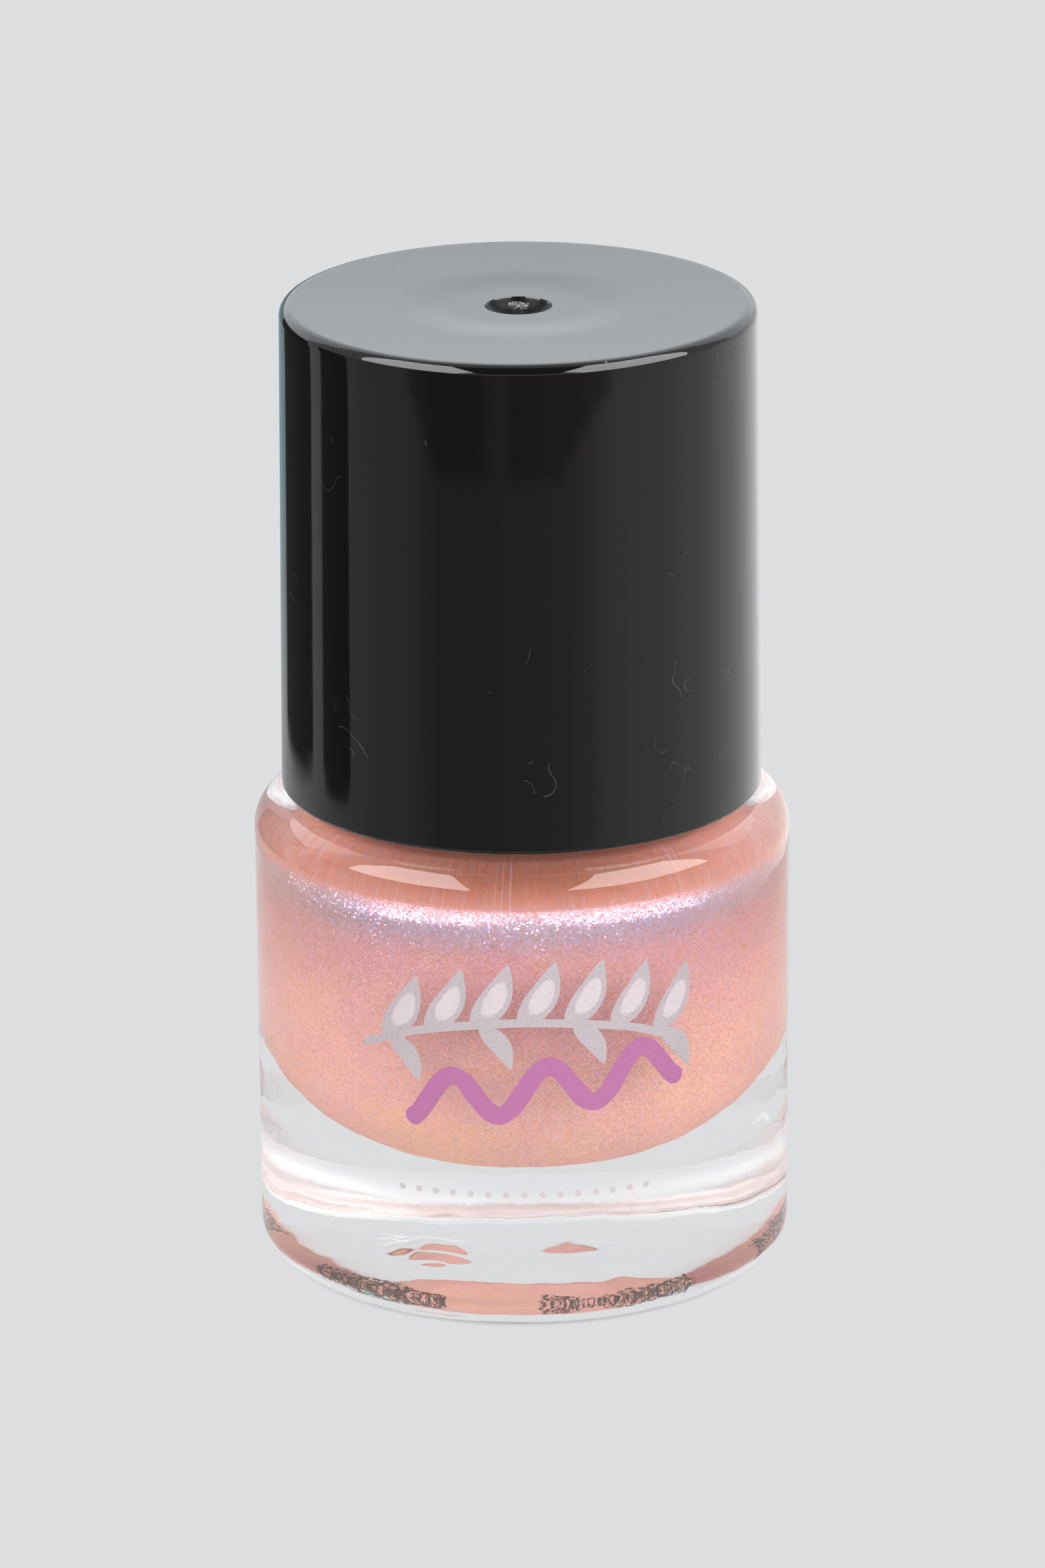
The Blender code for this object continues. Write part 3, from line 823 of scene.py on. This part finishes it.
def tube_into(shape, route, radii, sides):
    """Add a tube with closed ends that follows a route, one radius for each point."""
    rings = []
    for index, point in enumerate(route):
        facing = heading(route, index).to_track_quat("Z", "Y")
        ring = []
        for side in range(sides):
            across = polar(math.tau * side / sides) * radii[index]
            ring.append(shape.verts.new(point + facing @ across))
        rings.append(ring)
    join_rings(shape, rings)


# The tuft: how many filaments, how thick they are, and how they are packed in the stem's hole
BRISTLES = 210
BRISTLE_STEPS = 9
BRISTLE_SIDES = 5
BRISTLE_RADIUS = 0.05 * MM
BRISTLE_TIP_RADIUS = 0.02 * MM
BUNDLE_RADIUS = 0.66 * MM
BUNDLE_DEPTH = 2.2 * MM
GOLDEN_ANGLE = math.pi * (3 - math.sqrt(5))
TUFT_LENGTH = STEM_LOW.z - TUFT_LOW.z


def tuft_radius(along):
    """The tuft's outer radius, along from 0 at the stem to 1 at the tip."""
    root = 0.8 * MM
    belly = TUFT_HIGH.x - 0.05 * MM
    return (root + (belly - root) * math.sin(along * math.pi / 2)) * math.sqrt(1 - 0.96 * along**6)


def make_bristles(material):
    """The nylon filaments, packed in the stem's hole and spread to a domed tip."""
    source = random.Random(7)
    shape = bmesh.new()
    for index in range(BRISTLES):
        spread = math.sqrt((index + 0.5) / BRISTLES)
        away = polar(index * GOLDEN_ANGLE)
        reach = 1 - 0.22 * spread**3 - 0.05 * source.random()
        wander = source.uniform(-0.05, 0.05)
        root = away * spread * BUNDLE_RADIUS
        root.z = STEM_LOW.z + BUNDLE_DEPTH
        route = [root]
        for step in range(BRISTLE_STEPS + 1):
            along = reach * step / BRISTLE_STEPS
            radius = spread * (tuft_radius(along) - 0.06 * MM)
            swing = Matrix.Rotation(wander * along, 3, "Z") @ away
            route.append(swing * radius + Vector((0.0, 0.0, STEM_LOW.z - TUFT_LENGTH * along)))
        radii = [BRISTLE_RADIUS] * (BRISTLE_STEPS + 1) + [BRISTLE_TIP_RADIUS]
        tube_into(shape, route, radii, BRISTLE_SIDES)
    bristles = finish_mesh("brush_bristles", shape, material)
    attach(bristles, "brush")
    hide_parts("bristle_tuft")


# Film of polish on the brush
FILM_TOP = STEM_LOW.z + 1.6 * MM
FILM_STEPS = 44
FILM_STREAK = 0.10 * MM


def make_brush_film(material):
    """The polish that clings to the tuft and to the foot of the stem, streaked by the bristles."""
    points = [
        Vector((0.0, FILM_TOP)),
        Vector((1.45 * MM, FILM_TOP)),
        Vector((1.72 * MM, FILM_TOP - 0.25 * MM)),
        Vector((1.74 * MM, STEM_LOW.z + 0.1 * MM)),
    ]
    for step in range(3, FILM_STEPS):
        along = step / FILM_STEPS
        neck = 1.6 * MM * max(0.0, 1 - along * 4)
        points.append(Vector((max(tuft_radius(along), neck), STEM_LOW.z - TUFT_LENGTH * along)))
    points.append(Vector((0.0, TUFT_LOW.z + 0.02 * MM)))

    def shift(angle, point):
        if point.y > STEM_LOW.z:
            return (0.0, 0.0)
        streak = noise.noise(polar(angle, 9, point.y / MM * 0.12))
        return ((streak - 0.5) * FILM_STREAK, 0.0)

    film = lathe("brush_polish", points, material, SMALL_SEGMENTS, shift)
    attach(film, "brush")


# Inner cap and its plates
THREAD_SEGMENTS = 180
FINS = 12
FIN_REACH = 10.3 * MM
PLATE_THICKNESS = 0.9 * MM


def plates_into(shape, count, inner, outer, bottom, top):
    """Add a ring of box-shaped plates that point away from the axis."""
    for index in range(count):
        corners = bmesh.ops.create_cube(shape, size=1.0)["verts"]
        bmesh.ops.scale(shape, vec=(outer - inner, PLATE_THICKNESS, top - bottom), verts=corners)
        middle = ((inner + outer) / 2, 0.0, (bottom + top) / 2)
        bmesh.ops.translate(shape, vec=middle, verts=corners)
        around = Matrix.Rotation(math.tau * (index + 0.5) / count, 3, "Z")
        bmesh.ops.rotate(shape, cent=(0.0, 0.0, 0.0), matrix=around, verts=corners)


def make_inner_cap(material):
    """The threaded closure inside the outer cap."""
    bore = NECK_RADIUS + NECK_THREAD_RISE + PART_GAP
    wall = 8.2 * MM
    plug_hole = 2.5 * MM
    ceiling = INNER_HIGH.z - 1.3 * MM
    bottom = INNER_LOW.z
    flange = bottom + 1.0 * MM
    corners = [
        (plug_hole, INNER_HIGH.z, 0.1 * MM),
        (wall, INNER_HIGH.z, 0.3 * MM),
        (wall, flange, 0.2 * MM),
        (INNER_HIGH.x, flange, 0.15 * MM),
        (INNER_HIGH.x, bottom, 0.2 * MM),
        (bore, bottom, 0.35 * MM),
        (bore, ceiling, 0.2 * MM),
        (plug_hole, ceiling, 0.1 * MM),
    ]

    def longest(point):
        return 0.16 * MM if abs(point.x - bore) < HAIR else 2.0 * MM

    def shift(angle, point):
        if abs(point.x - bore) > HAIR:
            return (0.0, 0.0)
        return (thread_rise(angle, point.y, CAP_THREAD_START, CAP_THREAD_TURNS, CAP_THREAD_RISE), 0.0)

    shape = bmesh.new()
    lathe_into(shape, refined(rounded(corners), longest), THREAD_SEGMENTS, shift)
    fins_top = INNER_HIGH.z - 0.4 * MM
    plates_into(shape, FINS, wall - 0.3 * MM, FIN_REACH, flange - 0.2 * MM, fins_top)
    closure = finish_mesh("threaded_closure", shape, material)
    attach(closure, "cap")
    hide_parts("inner_cap")


# Outer cap
CAP_WALL = 1.35 * MM
CAP_TOP_THICKNESS = 1.8 * MM
CAP_EDGE_ROUNDING = 0.57 * MM
CAP_DRAFT = 0.2 * MM
CAP_TOP_RADIUS = CAP_HIGH.x - CAP_DRAFT
CAP_FLAT_RADIUS = CAP_TOP_RADIUS - CAP_EDGE_ROUNDING
RIBS = 8
RIB_INNER_EDGE = 7.2 * MM
DIMPLE_RADIUS = 1.68 * MM
DIMPLE_DEPTH = 0.8 * MM
DIMPLE_STEPS = 14
CAP_TOP_STEPS = 60
GATE_STUB_RADIUS = 0.475 * MM
TORN_HEIGHT = 0.45 * MM
CAP_DISH = 0.13 * MM
SINK_RADIUS = 6.4 * MM
SINK_EDGE = 3.4 * MM
SINK_DEPTH = 0.08 * MM


def cap_top_height(radius):
    """Height of the cap's top face: nearly flat, with the sink marks that a moulding leaves."""
    dish = CAP_DISH * (1 - (radius / CAP_FLAT_RADIUS) ** 2)
    sink = SINK_DEPTH * smooth_step((SINK_RADIUS - radius) / SINK_EDGE)
    return CAP_HIGH.z - dish - sink


def cap_profile():
    """The outer cap's profile, from the middle of its dimple to the middle of its ceiling."""
    points = [Vector((0.0, CAP_HIGH.z - DIMPLE_DEPTH))]
    rim = cap_top_height(DIMPLE_RADIUS)
    for step in range(1, DIMPLE_STEPS + 1):
        share = step / DIMPLE_STEPS
        points.append(Vector((DIMPLE_RADIUS * share, rim - DIMPLE_DEPTH * (1 - share**3) ** 0.8)))
    for step in range(1, CAP_TOP_STEPS):
        radius = DIMPLE_RADIUS + (CAP_FLAT_RADIUS - DIMPLE_RADIUS) * step / CAP_TOP_STEPS
        points.append(Vector((radius, cap_top_height(radius))))
    ceiling = CAP_HIGH.z - CAP_TOP_THICKNESS
    corners = [
        (CAP_FLAT_RADIUS * 0.5, CAP_HIGH.z, 0.0),
        (CAP_TOP_RADIUS, CAP_HIGH.z, CAP_EDGE_ROUNDING),
        (CAP_HIGH.x, CAP_LOW.z, 0.22 * MM),
        (CAP_HIGH.x - CAP_WALL, CAP_LOW.z, 0.3 * MM),
        (CAP_TOP_RADIUS - CAP_WALL, ceiling, 0.5 * MM),
        (0.0, ceiling, 0.0),
    ]
    return refined(points + rounded(corners)[1:])


def make_outer_cap(material):
    """The tall gloss shell with its dimple, and its inner ribs."""
    shell = lathe("cap_shell", cap_profile(), material)
    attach(shell, "cap")
    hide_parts("outer_cap")

    shape = bmesh.new()
    outer = CAP_TOP_RADIUS - CAP_WALL / 2
    bottom = INNER_HIGH.z + PART_GAP
    top = CAP_HIGH.z - CAP_TOP_THICKNESS + 0.3 * MM
    plates_into(shape, RIBS, RIB_INNER_EDGE, outer, bottom, top)
    ribs = finish_mesh("cap_ribs", shape, material, smooth=False)
    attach(ribs, "cap")


def make_gate_stub(material):
    """The snapped sprue in the dimple: a short post with a torn, uneven end."""
    top = CAP_HIGH.z
    bottom = top - DIMPLE_DEPTH - 0.1 * MM
    points = [Vector((GATE_STUB_RADIUS * step / 8, top)) for step in range(8)]
    points += [Vector((GATE_STUB_RADIUS, top + (bottom - top) * step / 10)) for step in range(11)]
    points.append(Vector((0.0, bottom)))

    def shift(angle, point):
        spot = polar(angle, point.x, point.y) / MM
        tear = noise.noise(spot * 4.1) + 0.5 * noise.noise(spot * 11.0)
        near_top = smooth_step((point.y - (top - TORN_HEIGHT)) / TORN_HEIGHT)
        sideways = 0.05 * noise.noise(spot * 6.0 + Vector((5.0, 0.0, 0.0))) + 0.03
        return (sideways * MM * near_top, (0.16 * tear - 0.13) * MM * near_top)

    stub = lathe("cap_gate_stub", points, material, 48, shift)
    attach(stub, "cap")


# ---------------------------------------------------------------- printed marks

INK_PROUD = 0.008 * MM
INK_DEPTH = 0.03 * MM
LEAVES = 7
WAVE_POINTS = 25
DOTS = 15


def glass_radius_at(height):
    """The bottle's outer radius on its straight side."""
    return BODY_RADIUS - BODY_NARROWING * (1 - height / SHOULDER_EDGE_HEIGHT)


def on_glass(across, height, proud):
    """The place on the bottle's front that lies across (along the arc) and height."""
    return from_front(across / BODY_RADIUS, glass_radius_at(height) + proud, height)


def smooth_route(points, steps):
    """Points of a smooth curve through a few given ones."""
    padded = [points[0] * 2 - points[1], *points, points[-1] * 2 - points[-2]]
    route = []
    for first, second, third, fourth in zip(padded, padded[1:], padded[2:], padded[3:]):
        slope = third - first
        bend = first * 2 - second * 5 + third * 4 - fourth
        twist = second * 3 - first - third * 3 + fourth
        for step in range(steps):
            t = step / steps
            route.append(0.5 * (second * 2 + slope * t + bend * t**2 + twist * t**3))
    route.append(points[-1])
    return route


def ribbon_into(shape, route, half_widths, proud=INK_PROUD):
    """Add a thin printed ribbon on the bottle's front along a flat route (across, height)."""
    rings = []
    for index, point in enumerate(route):
        along = heading(route, index).normalized()
        normal = Vector((-along.y, along.x)) * half_widths[index]
        left = point + normal
        right = point - normal
        corners = ((left, proud), (right, proud), (right, -INK_DEPTH), (left, -INK_DEPTH))
        rings.append([shape.verts.new(on_glass(spot.x, spot.y, out)) for spot, out in corners])
    join_rings(shape, rings)


def leaf_into(shape, start, end, width, curve):
    """Add a printed leaf from start to end, bent sideways by curve."""
    start = Vector(start) * MM
    end = Vector(end) * MM
    side = Vector((start.y - end.y, end.x - start.x)).normalized()
    middle = (start + end) / 2 + side * curve * MM
    route = smooth_route([start, middle, end], 12)
    last = len(route) - 1
    widths = []
    for index in range(len(route)):
        share = index / last
        widths.append(max(0.015, width / 2 * math.sin(math.pi * share**0.8) ** 0.8) * MM)
    ribbon_into(shape, route, widths)


def stroke_into(shape, points, width, proud=INK_PROUD):
    """Add a brush stroke with round ends through a few points, in millimetres."""
    route = smooth_route([Vector(point) * MM for point in points], 10)
    last = len(route) - 1
    lengths = [0.0]
    for before, after in zip(route, route[1:]):
        lengths.append(lengths[-1] + (after - before).length)
    half = width / 2 * MM
    widths = []
    for index in range(last + 1):
        from_end = min(lengths[index], lengths[-1] - lengths[index])
        rounding = math.sqrt(max(0.0, 1 - (1 - min(1.0, from_end / half)) ** 2))
        wobble = 1 + 0.10 * noise.noise(Vector((lengths[index] / MM * 0.9, width, 3.0)))
        widths.append(max(0.02 * MM, half * rounding * wobble))
    ribbon_into(shape, route, widths, proud)


def make_print(white, magenta, pale):
    """Generic printed marks: a leafy sprig, a brushed zigzag under it and a dotted line on the base."""
    shape = bmesh.new()
    stem = [(-8.6, 14.6), (-5.0, 15.9), (0.0, 16.5), (5.0, 16.0), (8.4, 14.8)]
    stroke_into(shape, stem, 0.42)
    for index in range(LEAVES):
        across = -7.3 + index * 2.35
        foot = 16.4 - (across / 8.6) ** 2 * 1.5
        leaf_into(shape, (across, foot), (across + 1.9, foot + 3.3), 1.5, -0.35)
        if index % 2 == 0:
            leaf_into(shape, (across + 0.4, foot), (across + 2.0, foot - 2.2), 1.05, 0.3)
    sprig = finish_mesh("print_sprig", shape, white)
    shape = bmesh.new()
    wave_points = []
    for index in range(WAVE_POINTS):
        across = -6.0 + index * 0.6
        wave_points.append((across, 12.9 + across * 0.12 - 1.15 * math.cos(index * math.pi / 4)))
    stroke_into(shape, wave_points, 0.95, INK_PROUD * 1.6)
    wave = finish_mesh("print_zigzag", shape, magenta)
    shape = bmesh.new()
    for index in range(DOTS):
        across = -6.3 + index * 0.9
        stroke_into(shape, [(across - 0.16, 7.4), (across, 7.4), (across + 0.16, 7.4)], 0.3)
    dots = finish_mesh("print_dots", shape, pale)
    for piece in (sprig, wave, dots):
        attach(piece, "bottle")


# ---------------------------------------------------------------------- studio

STUDIO_AIM = Vector((0.0, 0.0, 25 * MM))

FRONT_FLAG_SIZE = (0.36, 0.62)
FRONT_FLAG_DISTANCE = 0.5
FRONT_FLAG_ELEVATION = math.radians(55)
FRONT_FLAG_LIGHT = 0.16

SOFTBOX_DISTANCE = 1.2
SOFTBOX_ELEVATION = 45
MIRRORED_RADIANCE = 6.0
SOFT_RADIANCE = 3.3
FILL_RADIANCE = 1.8

FLOOR_SIZE = 6.0
FLOOR_GAP = 0.02 * MM
# The painted shadow under the bottle: the floor's glow is low inside the first radius and full beyond the
# second
FLOOR_SHADOW_START = 11.2 * MM
FLOOR_SHADOW_END = 12.6 * MM
FLOOR_LIGHT = (0.684, 0.690, 0.703, 1.0)
FLOOR_COLOR = (0.04, 0.04, 0.04, 1.0)
ROOM_LIGHT = (0.723, 0.731, 0.744, 1.0)

BACK_CARD_HALF_WIDTH = 160 * MM
BACK_CARD_DISTANCE = 85 * MM
BACK_CARD_BOTTOM, BACK_CARD_TOP = 60 * MM, 190 * MM
BACK_LIGHT_START, BACK_LIGHT_END = 71 * MM, 86 * MM

WALL_RADIUS = 66 * MM
WALL_BOTTOM = 0.5 * MM
WALL_TOP = 58 * MM
WALL_COLUMNS = 720
WALL_ROWS = 46

# Heights on the wall, in millimetres
FLAG_FOOT = 7.0
FLAG_TIP = 2.0
HOOD_FOOT = 28.2
HOOD_RISE = 5.5

# Dark flags that the cap mirrors as stripes: first and last direction, softness, and how dark
FLAGS = ((-153, -119, 1.6, 0.88), (-110, -90, 1.4, 0.80))

# Brightness of the room in each direction that the cap mirrors: 0 is the front, 90 the front's right
ROOM_STOPS = [
    (-180, 0.42), (-160, 0.60), (-120, 0.65), (-95, 0.52), (-70, 0.46),
    (-56, 0.45), (-38, 0.28), (-20, 0.28), (0, 0.32), (20, 0.38),
    (30, 0.45), (44, 0.66), (54, 0.74), (72, 0.76), (92, 0.89),
    (120, 1.10), (148, 1.28), (162, 1.24), (176, 0.85), (180, 0.80),
]


def between(stops, place_on):
    """Read a value between (place, value) stops, with eased steps."""
    for (start, low), (end, high) in zip(stops, stops[1:]):
        if place_on <= end:
            share = (place_on - start) / (end - start)
            return low + (high - low) * smooth_step(share)
    return stops[-1][1]


def band(value, start, end, soft):
    """1 between start and end, 0 outside, with soft edges."""
    return smooth_step((value - start) / soft + 0.5) * smooth_step((end - value) / soft + 0.5)


def mirrored_direction(azimuth):
    """The direction in which the front of the cap mirrors one azimuth of the wall, both in degrees."""
    direction = azimuth
    for _ in range(6):
        half = math.radians(direction / 2)
        direction = azimuth + math.degrees(math.asin(CAP_HIGH.x / WALL_RADIUS * math.sin(half)))
    return direction


def flag(direction, height, start, end, soft):
    """A tall dark flag with a round foot: 1 inside it, 0 outside."""
    across = (2 * direction - start - end) / (end - start)
    foot = FLAG_FOOT + FLAG_TIP * (1 - math.sqrt(max(0.0, 1 - across * across)))
    return band(direction, start, end, soft) * smooth_step((height / MM - foot) / 2.0 + 0.5)


def wall_glow(azimuth, height):
    """Colour of the light that the room sends back from one place on the reflection wall."""
    direction = mirrored_direction(azimuth)
    light = between(ROOM_STOPS, direction)
    for start, end, soft, depth in FLAGS:
        light *= 1 - depth * flag(direction, height, start, end, soft)
    up = min(1.0, max(0.0, (height / MM - HOOD_FOOT) / HOOD_RISE))
    hood = band(direction, -39 - 15 * up, 15 + 29 * up, 5) * smooth_step((height / MM - HOOD_FOOT) / 1.2)
    gap = band(direction, -17, -5, 7)
    hood *= 1 - 0.8 * gap
    light *= 1 - 0.42 * hood
    warm = band(direction, -22, 34, 20) * smooth_step((height / MM - HOOD_FOOT) / 3.0)
    blue = band(direction, -190, -154, 6) * smooth_step((height / MM - 5.0) / 20.0)
    red = 1 + 0.18 * warm - 0.40 * blue
    green = 1 - 0.04 * warm - 0.12 * blue
    return (light * red, light * green, light * (1 - 0.06 * warm))


def make_wall():
    """A curved card round the bottle that only reflections see."""
    shape = bmesh.new()
    glow = shape.loops.layers.float_color.new("glow")
    grid = []
    colors = {}
    for row in range(WALL_ROWS + 1):
        height = WALL_BOTTOM + (WALL_TOP - WALL_BOTTOM) * row / WALL_ROWS
        line = []
        for column in range(WALL_COLUMNS):
            azimuth = column * 360 / WALL_COLUMNS - 180
            corner = shape.verts.new(from_front(math.radians(azimuth), WALL_RADIUS, height))
            colors[corner] = (*wall_glow(azimuth, corner.co.z), 1.0)
            line.append(corner)
        grid.append(line)
    for lower, upper in zip(grid, grid[1:]):
        for column in range(WALL_COLUMNS):
            after = (column + 1) % WALL_COLUMNS
            face = shape.faces.new((lower[column], lower[after], upper[after], upper[column]))
            for loop in face.loops:
                loop[glow] = colors[loop.vert]
    material, tree = new_material("wall_glow")
    color = add(tree, "Attribute", attribute_name="glow").outputs["Color"]
    emission = add(tree, "Emission", {"Color": color, "Strength": 1.0})
    hide_but_reflect(link_mesh("reflection_wall", shape, with_surface(material, emission)))


def hide_but_reflect(card):
    """Keep a card out of the view, the shadows and the diffuse light, but in the reflections."""
    card.visible_camera = False
    card.visible_diffuse = False
    card.visible_shadow = False
    card.visible_transmission = False


def make_back_card():
    """The bright backdrop that the cap's flat top mirrors."""
    shape = bmesh.new()
    width, low, high = BACK_CARD_HALF_WIDTH, BACK_CARD_BOTTOM, BACK_CARD_TOP
    corners = ((-width, low), (width, low), (width, high), (-width, high))
    shape.faces.new([shape.verts.new((x, BACK_CARD_DISTANCE, z)) for x, z in corners])
    material, tree = new_material("back_glow")
    strength = map_range(tree, position(tree)[2], BACK_LIGHT_START, BACK_LIGHT_END, 1.56, 1.70)
    emission = add(tree, "Emission", {"Color": (0.955, 1.0, 1.03, 1.0), "Strength": strength})
    hide_but_reflect(link_mesh("back_card", shape, with_surface(material, emission)))


def make_front_flag():
    """The dark card above the camera, which darkens what faces it."""
    shape = bmesh.new()
    bmesh.ops.create_grid(shape, x_segments=1, y_segments=1, size=0.5)
    bmesh.ops.scale(shape, vec=(*FRONT_FLAG_SIZE, 1.0), verts=shape.verts)
    material, tree = new_material("front_flag")
    emission = add(tree, "Emission", {"Color": (1.0, 0.93, 0.88, 1.0), "Strength": FRONT_FLAG_LIGHT})
    card = link_mesh("front_flag", shape, with_surface(material, emission))
    aim(card, 0.0, FRONT_FLAG_ELEVATION, FRONT_FLAG_DISTANCE)
    hide_but_reflect(card)


def make_floor():
    """A plain pale floor that glows a little, as a light table does, with a painted shadow under the
    bottle where it barely glows.
    """
    shape = bmesh.new()
    bmesh.ops.create_grid(shape, x_segments=1, y_segments=1, size=FLOOR_SIZE / 2)
    bmesh.ops.translate(shape, vec=(0.0, 0.0, -FLOOR_GAP), verts=shape.verts)
    material, tree = new_material("studio_floor")
    # Painted shadow: the glow drops to 0.08 under the bottle
    lit = map_range(tree, vector_length(tree, place(tree)), FLOOR_SHADOW_START, FLOOR_SHADOW_END, 0.08, 1.0, eased=True)
    glow = {"Emission_Color": FLOOR_LIGHT, "Emission_Strength": lit}
    shader = principled(tree, FLOOR_COLOR, 0.9, Specular_IOR_Level=0.0, **glow)
    link_mesh("studio_floor", shape, with_surface(material, shader))


def aim(thing, azimuth, elevation, distance):
    """Put a card or lamp in one direction from the bottle's middle, facing it."""
    direction = from_front(azimuth, math.cos(elevation), math.sin(elevation))
    thing.location = STUDIO_AIM + direction * distance
    thing.rotation_euler = direction.to_track_quat("Z", "Y").to_euler()


def make_softbox(name, azimuth, elevation, width, height, radiance, mirrored):
    """A rectangular softbox aimed at the bottle's middle, for mirrored or for diffuse light."""
    lamp = bpy.data.lights.new(name, "AREA")
    lamp.shape = "RECTANGLE"
    lamp.size = width
    lamp.size_y = height
    lamp.energy = radiance * math.pi * width * height
    softbox = link_object(name, lamp)
    aim(softbox, math.radians(azimuth), math.radians(elevation), SOFTBOX_DISTANCE)
    softbox.visible_camera = False
    softbox.visible_diffuse = not mirrored
    softbox.visible_glossy = mirrored
    softbox.visible_transmission = mirrored


def make_world():
    """Even pale room light."""
    world = bpy.data.worlds.new("studio")
    world.use_nodes = True
    background = world.node_tree.nodes["Background"]
    background.inputs["Color"].default_value = ROOM_LIGHT
    background.inputs["Strength"].default_value = 1.0
    bpy.context.scene.world = world


# ---------------------------------------------------------------------- camera

CAMERA_TARGET = Vector((0.0, 0.0, 28 * MM))
CAMERA_DISTANCE = 449.6 * MM
CAMERA_ELEVATION = math.radians(18.13)
CAMERA_LENS = 205.1
CAMERA_TILT = math.radians(-0.4323)
CAMERA_PAN = math.radians(-0.0056)
CAMERA_ROLL = math.radians(-0.39)


def make_camera():
    """A long lens in front of the bottle, looking slightly down."""
    lens = bpy.data.cameras.new("camera")
    lens.lens = CAMERA_LENS
    lens.sensor_width = 36.0
    lens.clip_start = 0.01
    lens.clip_end = 20.0
    camera = link_object("camera", lens)
    away = from_front(0.0, math.cos(CAMERA_ELEVATION), math.sin(CAMERA_ELEVATION))
    facing = away.to_track_quat("Z", "Y").to_matrix()
    tilt = Matrix.Rotation(CAMERA_TILT, 3, "X")
    pan = Matrix.Rotation(CAMERA_PAN, 3, "Y")
    roll = Matrix.Rotation(CAMERA_ROLL, 3, "Z")
    camera.rotation_euler = (facing @ pan @ tilt @ roll).to_euler()
    camera.location = CAMERA_TARGET + away * CAMERA_DISTANCE
    bpy.context.scene.camera = camera


def make_studio():
    """Floor, lights, reflection cards and colour handling."""
    make_world()
    make_floor()
    make_wall()
    make_back_card()
    make_front_flag()
    kinds = (("mirrored", MIRRORED_RADIANCE, True), ("soft", SOFT_RADIANCE, False))
    for kind, radiance, mirrored in kinds:
        make_softbox("left_" + kind, -55, SOFTBOX_ELEVATION, 1.22, 1.3, radiance, mirrored)
        make_softbox("right_" + kind, 59, SOFTBOX_ELEVATION, 1.42, 1.3, radiance, mirrored)
    make_softbox("front_fill", 0, 12, 1.6, 0.45, FILL_RADIANCE, False)
    scene = bpy.context.scene
    scene.view_settings.view_transform = "Standard"
    scene.cycles.max_bounces = 24
    scene.cycles.glossy_bounces = 16
    scene.cycles.transmission_bounces = 16


def main():
    """Dress the frame."""
    make_camera()
    make_studio()
    make_glass(clear_glass())
    make_polish(pearl_polish())
    make_balls(metal("ball_steel", (0.72, 0.72, 0.74), (0.58, 0.58, 0.60), 0.12))
    make_liner(moulded_plastic("liner_foam", (0.76, 0.76, 0.73), (0.88, 0.88, 0.85), 0.7))
    make_stem(moulded_plastic("stem_plastic", (0.018, 0.018, 0.02), (0.03, 0.03, 0.033), 0.35))
    make_bristles(moulded_plastic("bristle_nylon", (0.03, 0.025, 0.025), (0.07, 0.06, 0.06), 0.4))
    make_brush_film(wet_pearl())
    closure = moulded_plastic("inner_cap_plastic", (0.022, 0.022, 0.024), (0.04, 0.04, 0.043), 0.42)
    make_inner_cap(closure)
    make_outer_cap(gloss_black())
    make_gate_stub(torn_plastic())
    make_print(
        print_ink("ink_white", (0.50, 0.45, 0.47), (0.47, 0.38, 0.40)),
        print_ink("ink_magenta", (0.46, 0.145, 0.34), (0.42, 0.14, 0.29)),
        print_ink("ink_pale", (0.60, 0.53, 0.53), (0.57, 0.50, 0.50)),
    )
    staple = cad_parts["anchor_staple"]
    staple.data.materials.clear()
    staple.data.materials.append(metal("staple_wire", (0.66, 0.65, 0.62), (0.48, 0.47, 0.45), 0.25))


main()
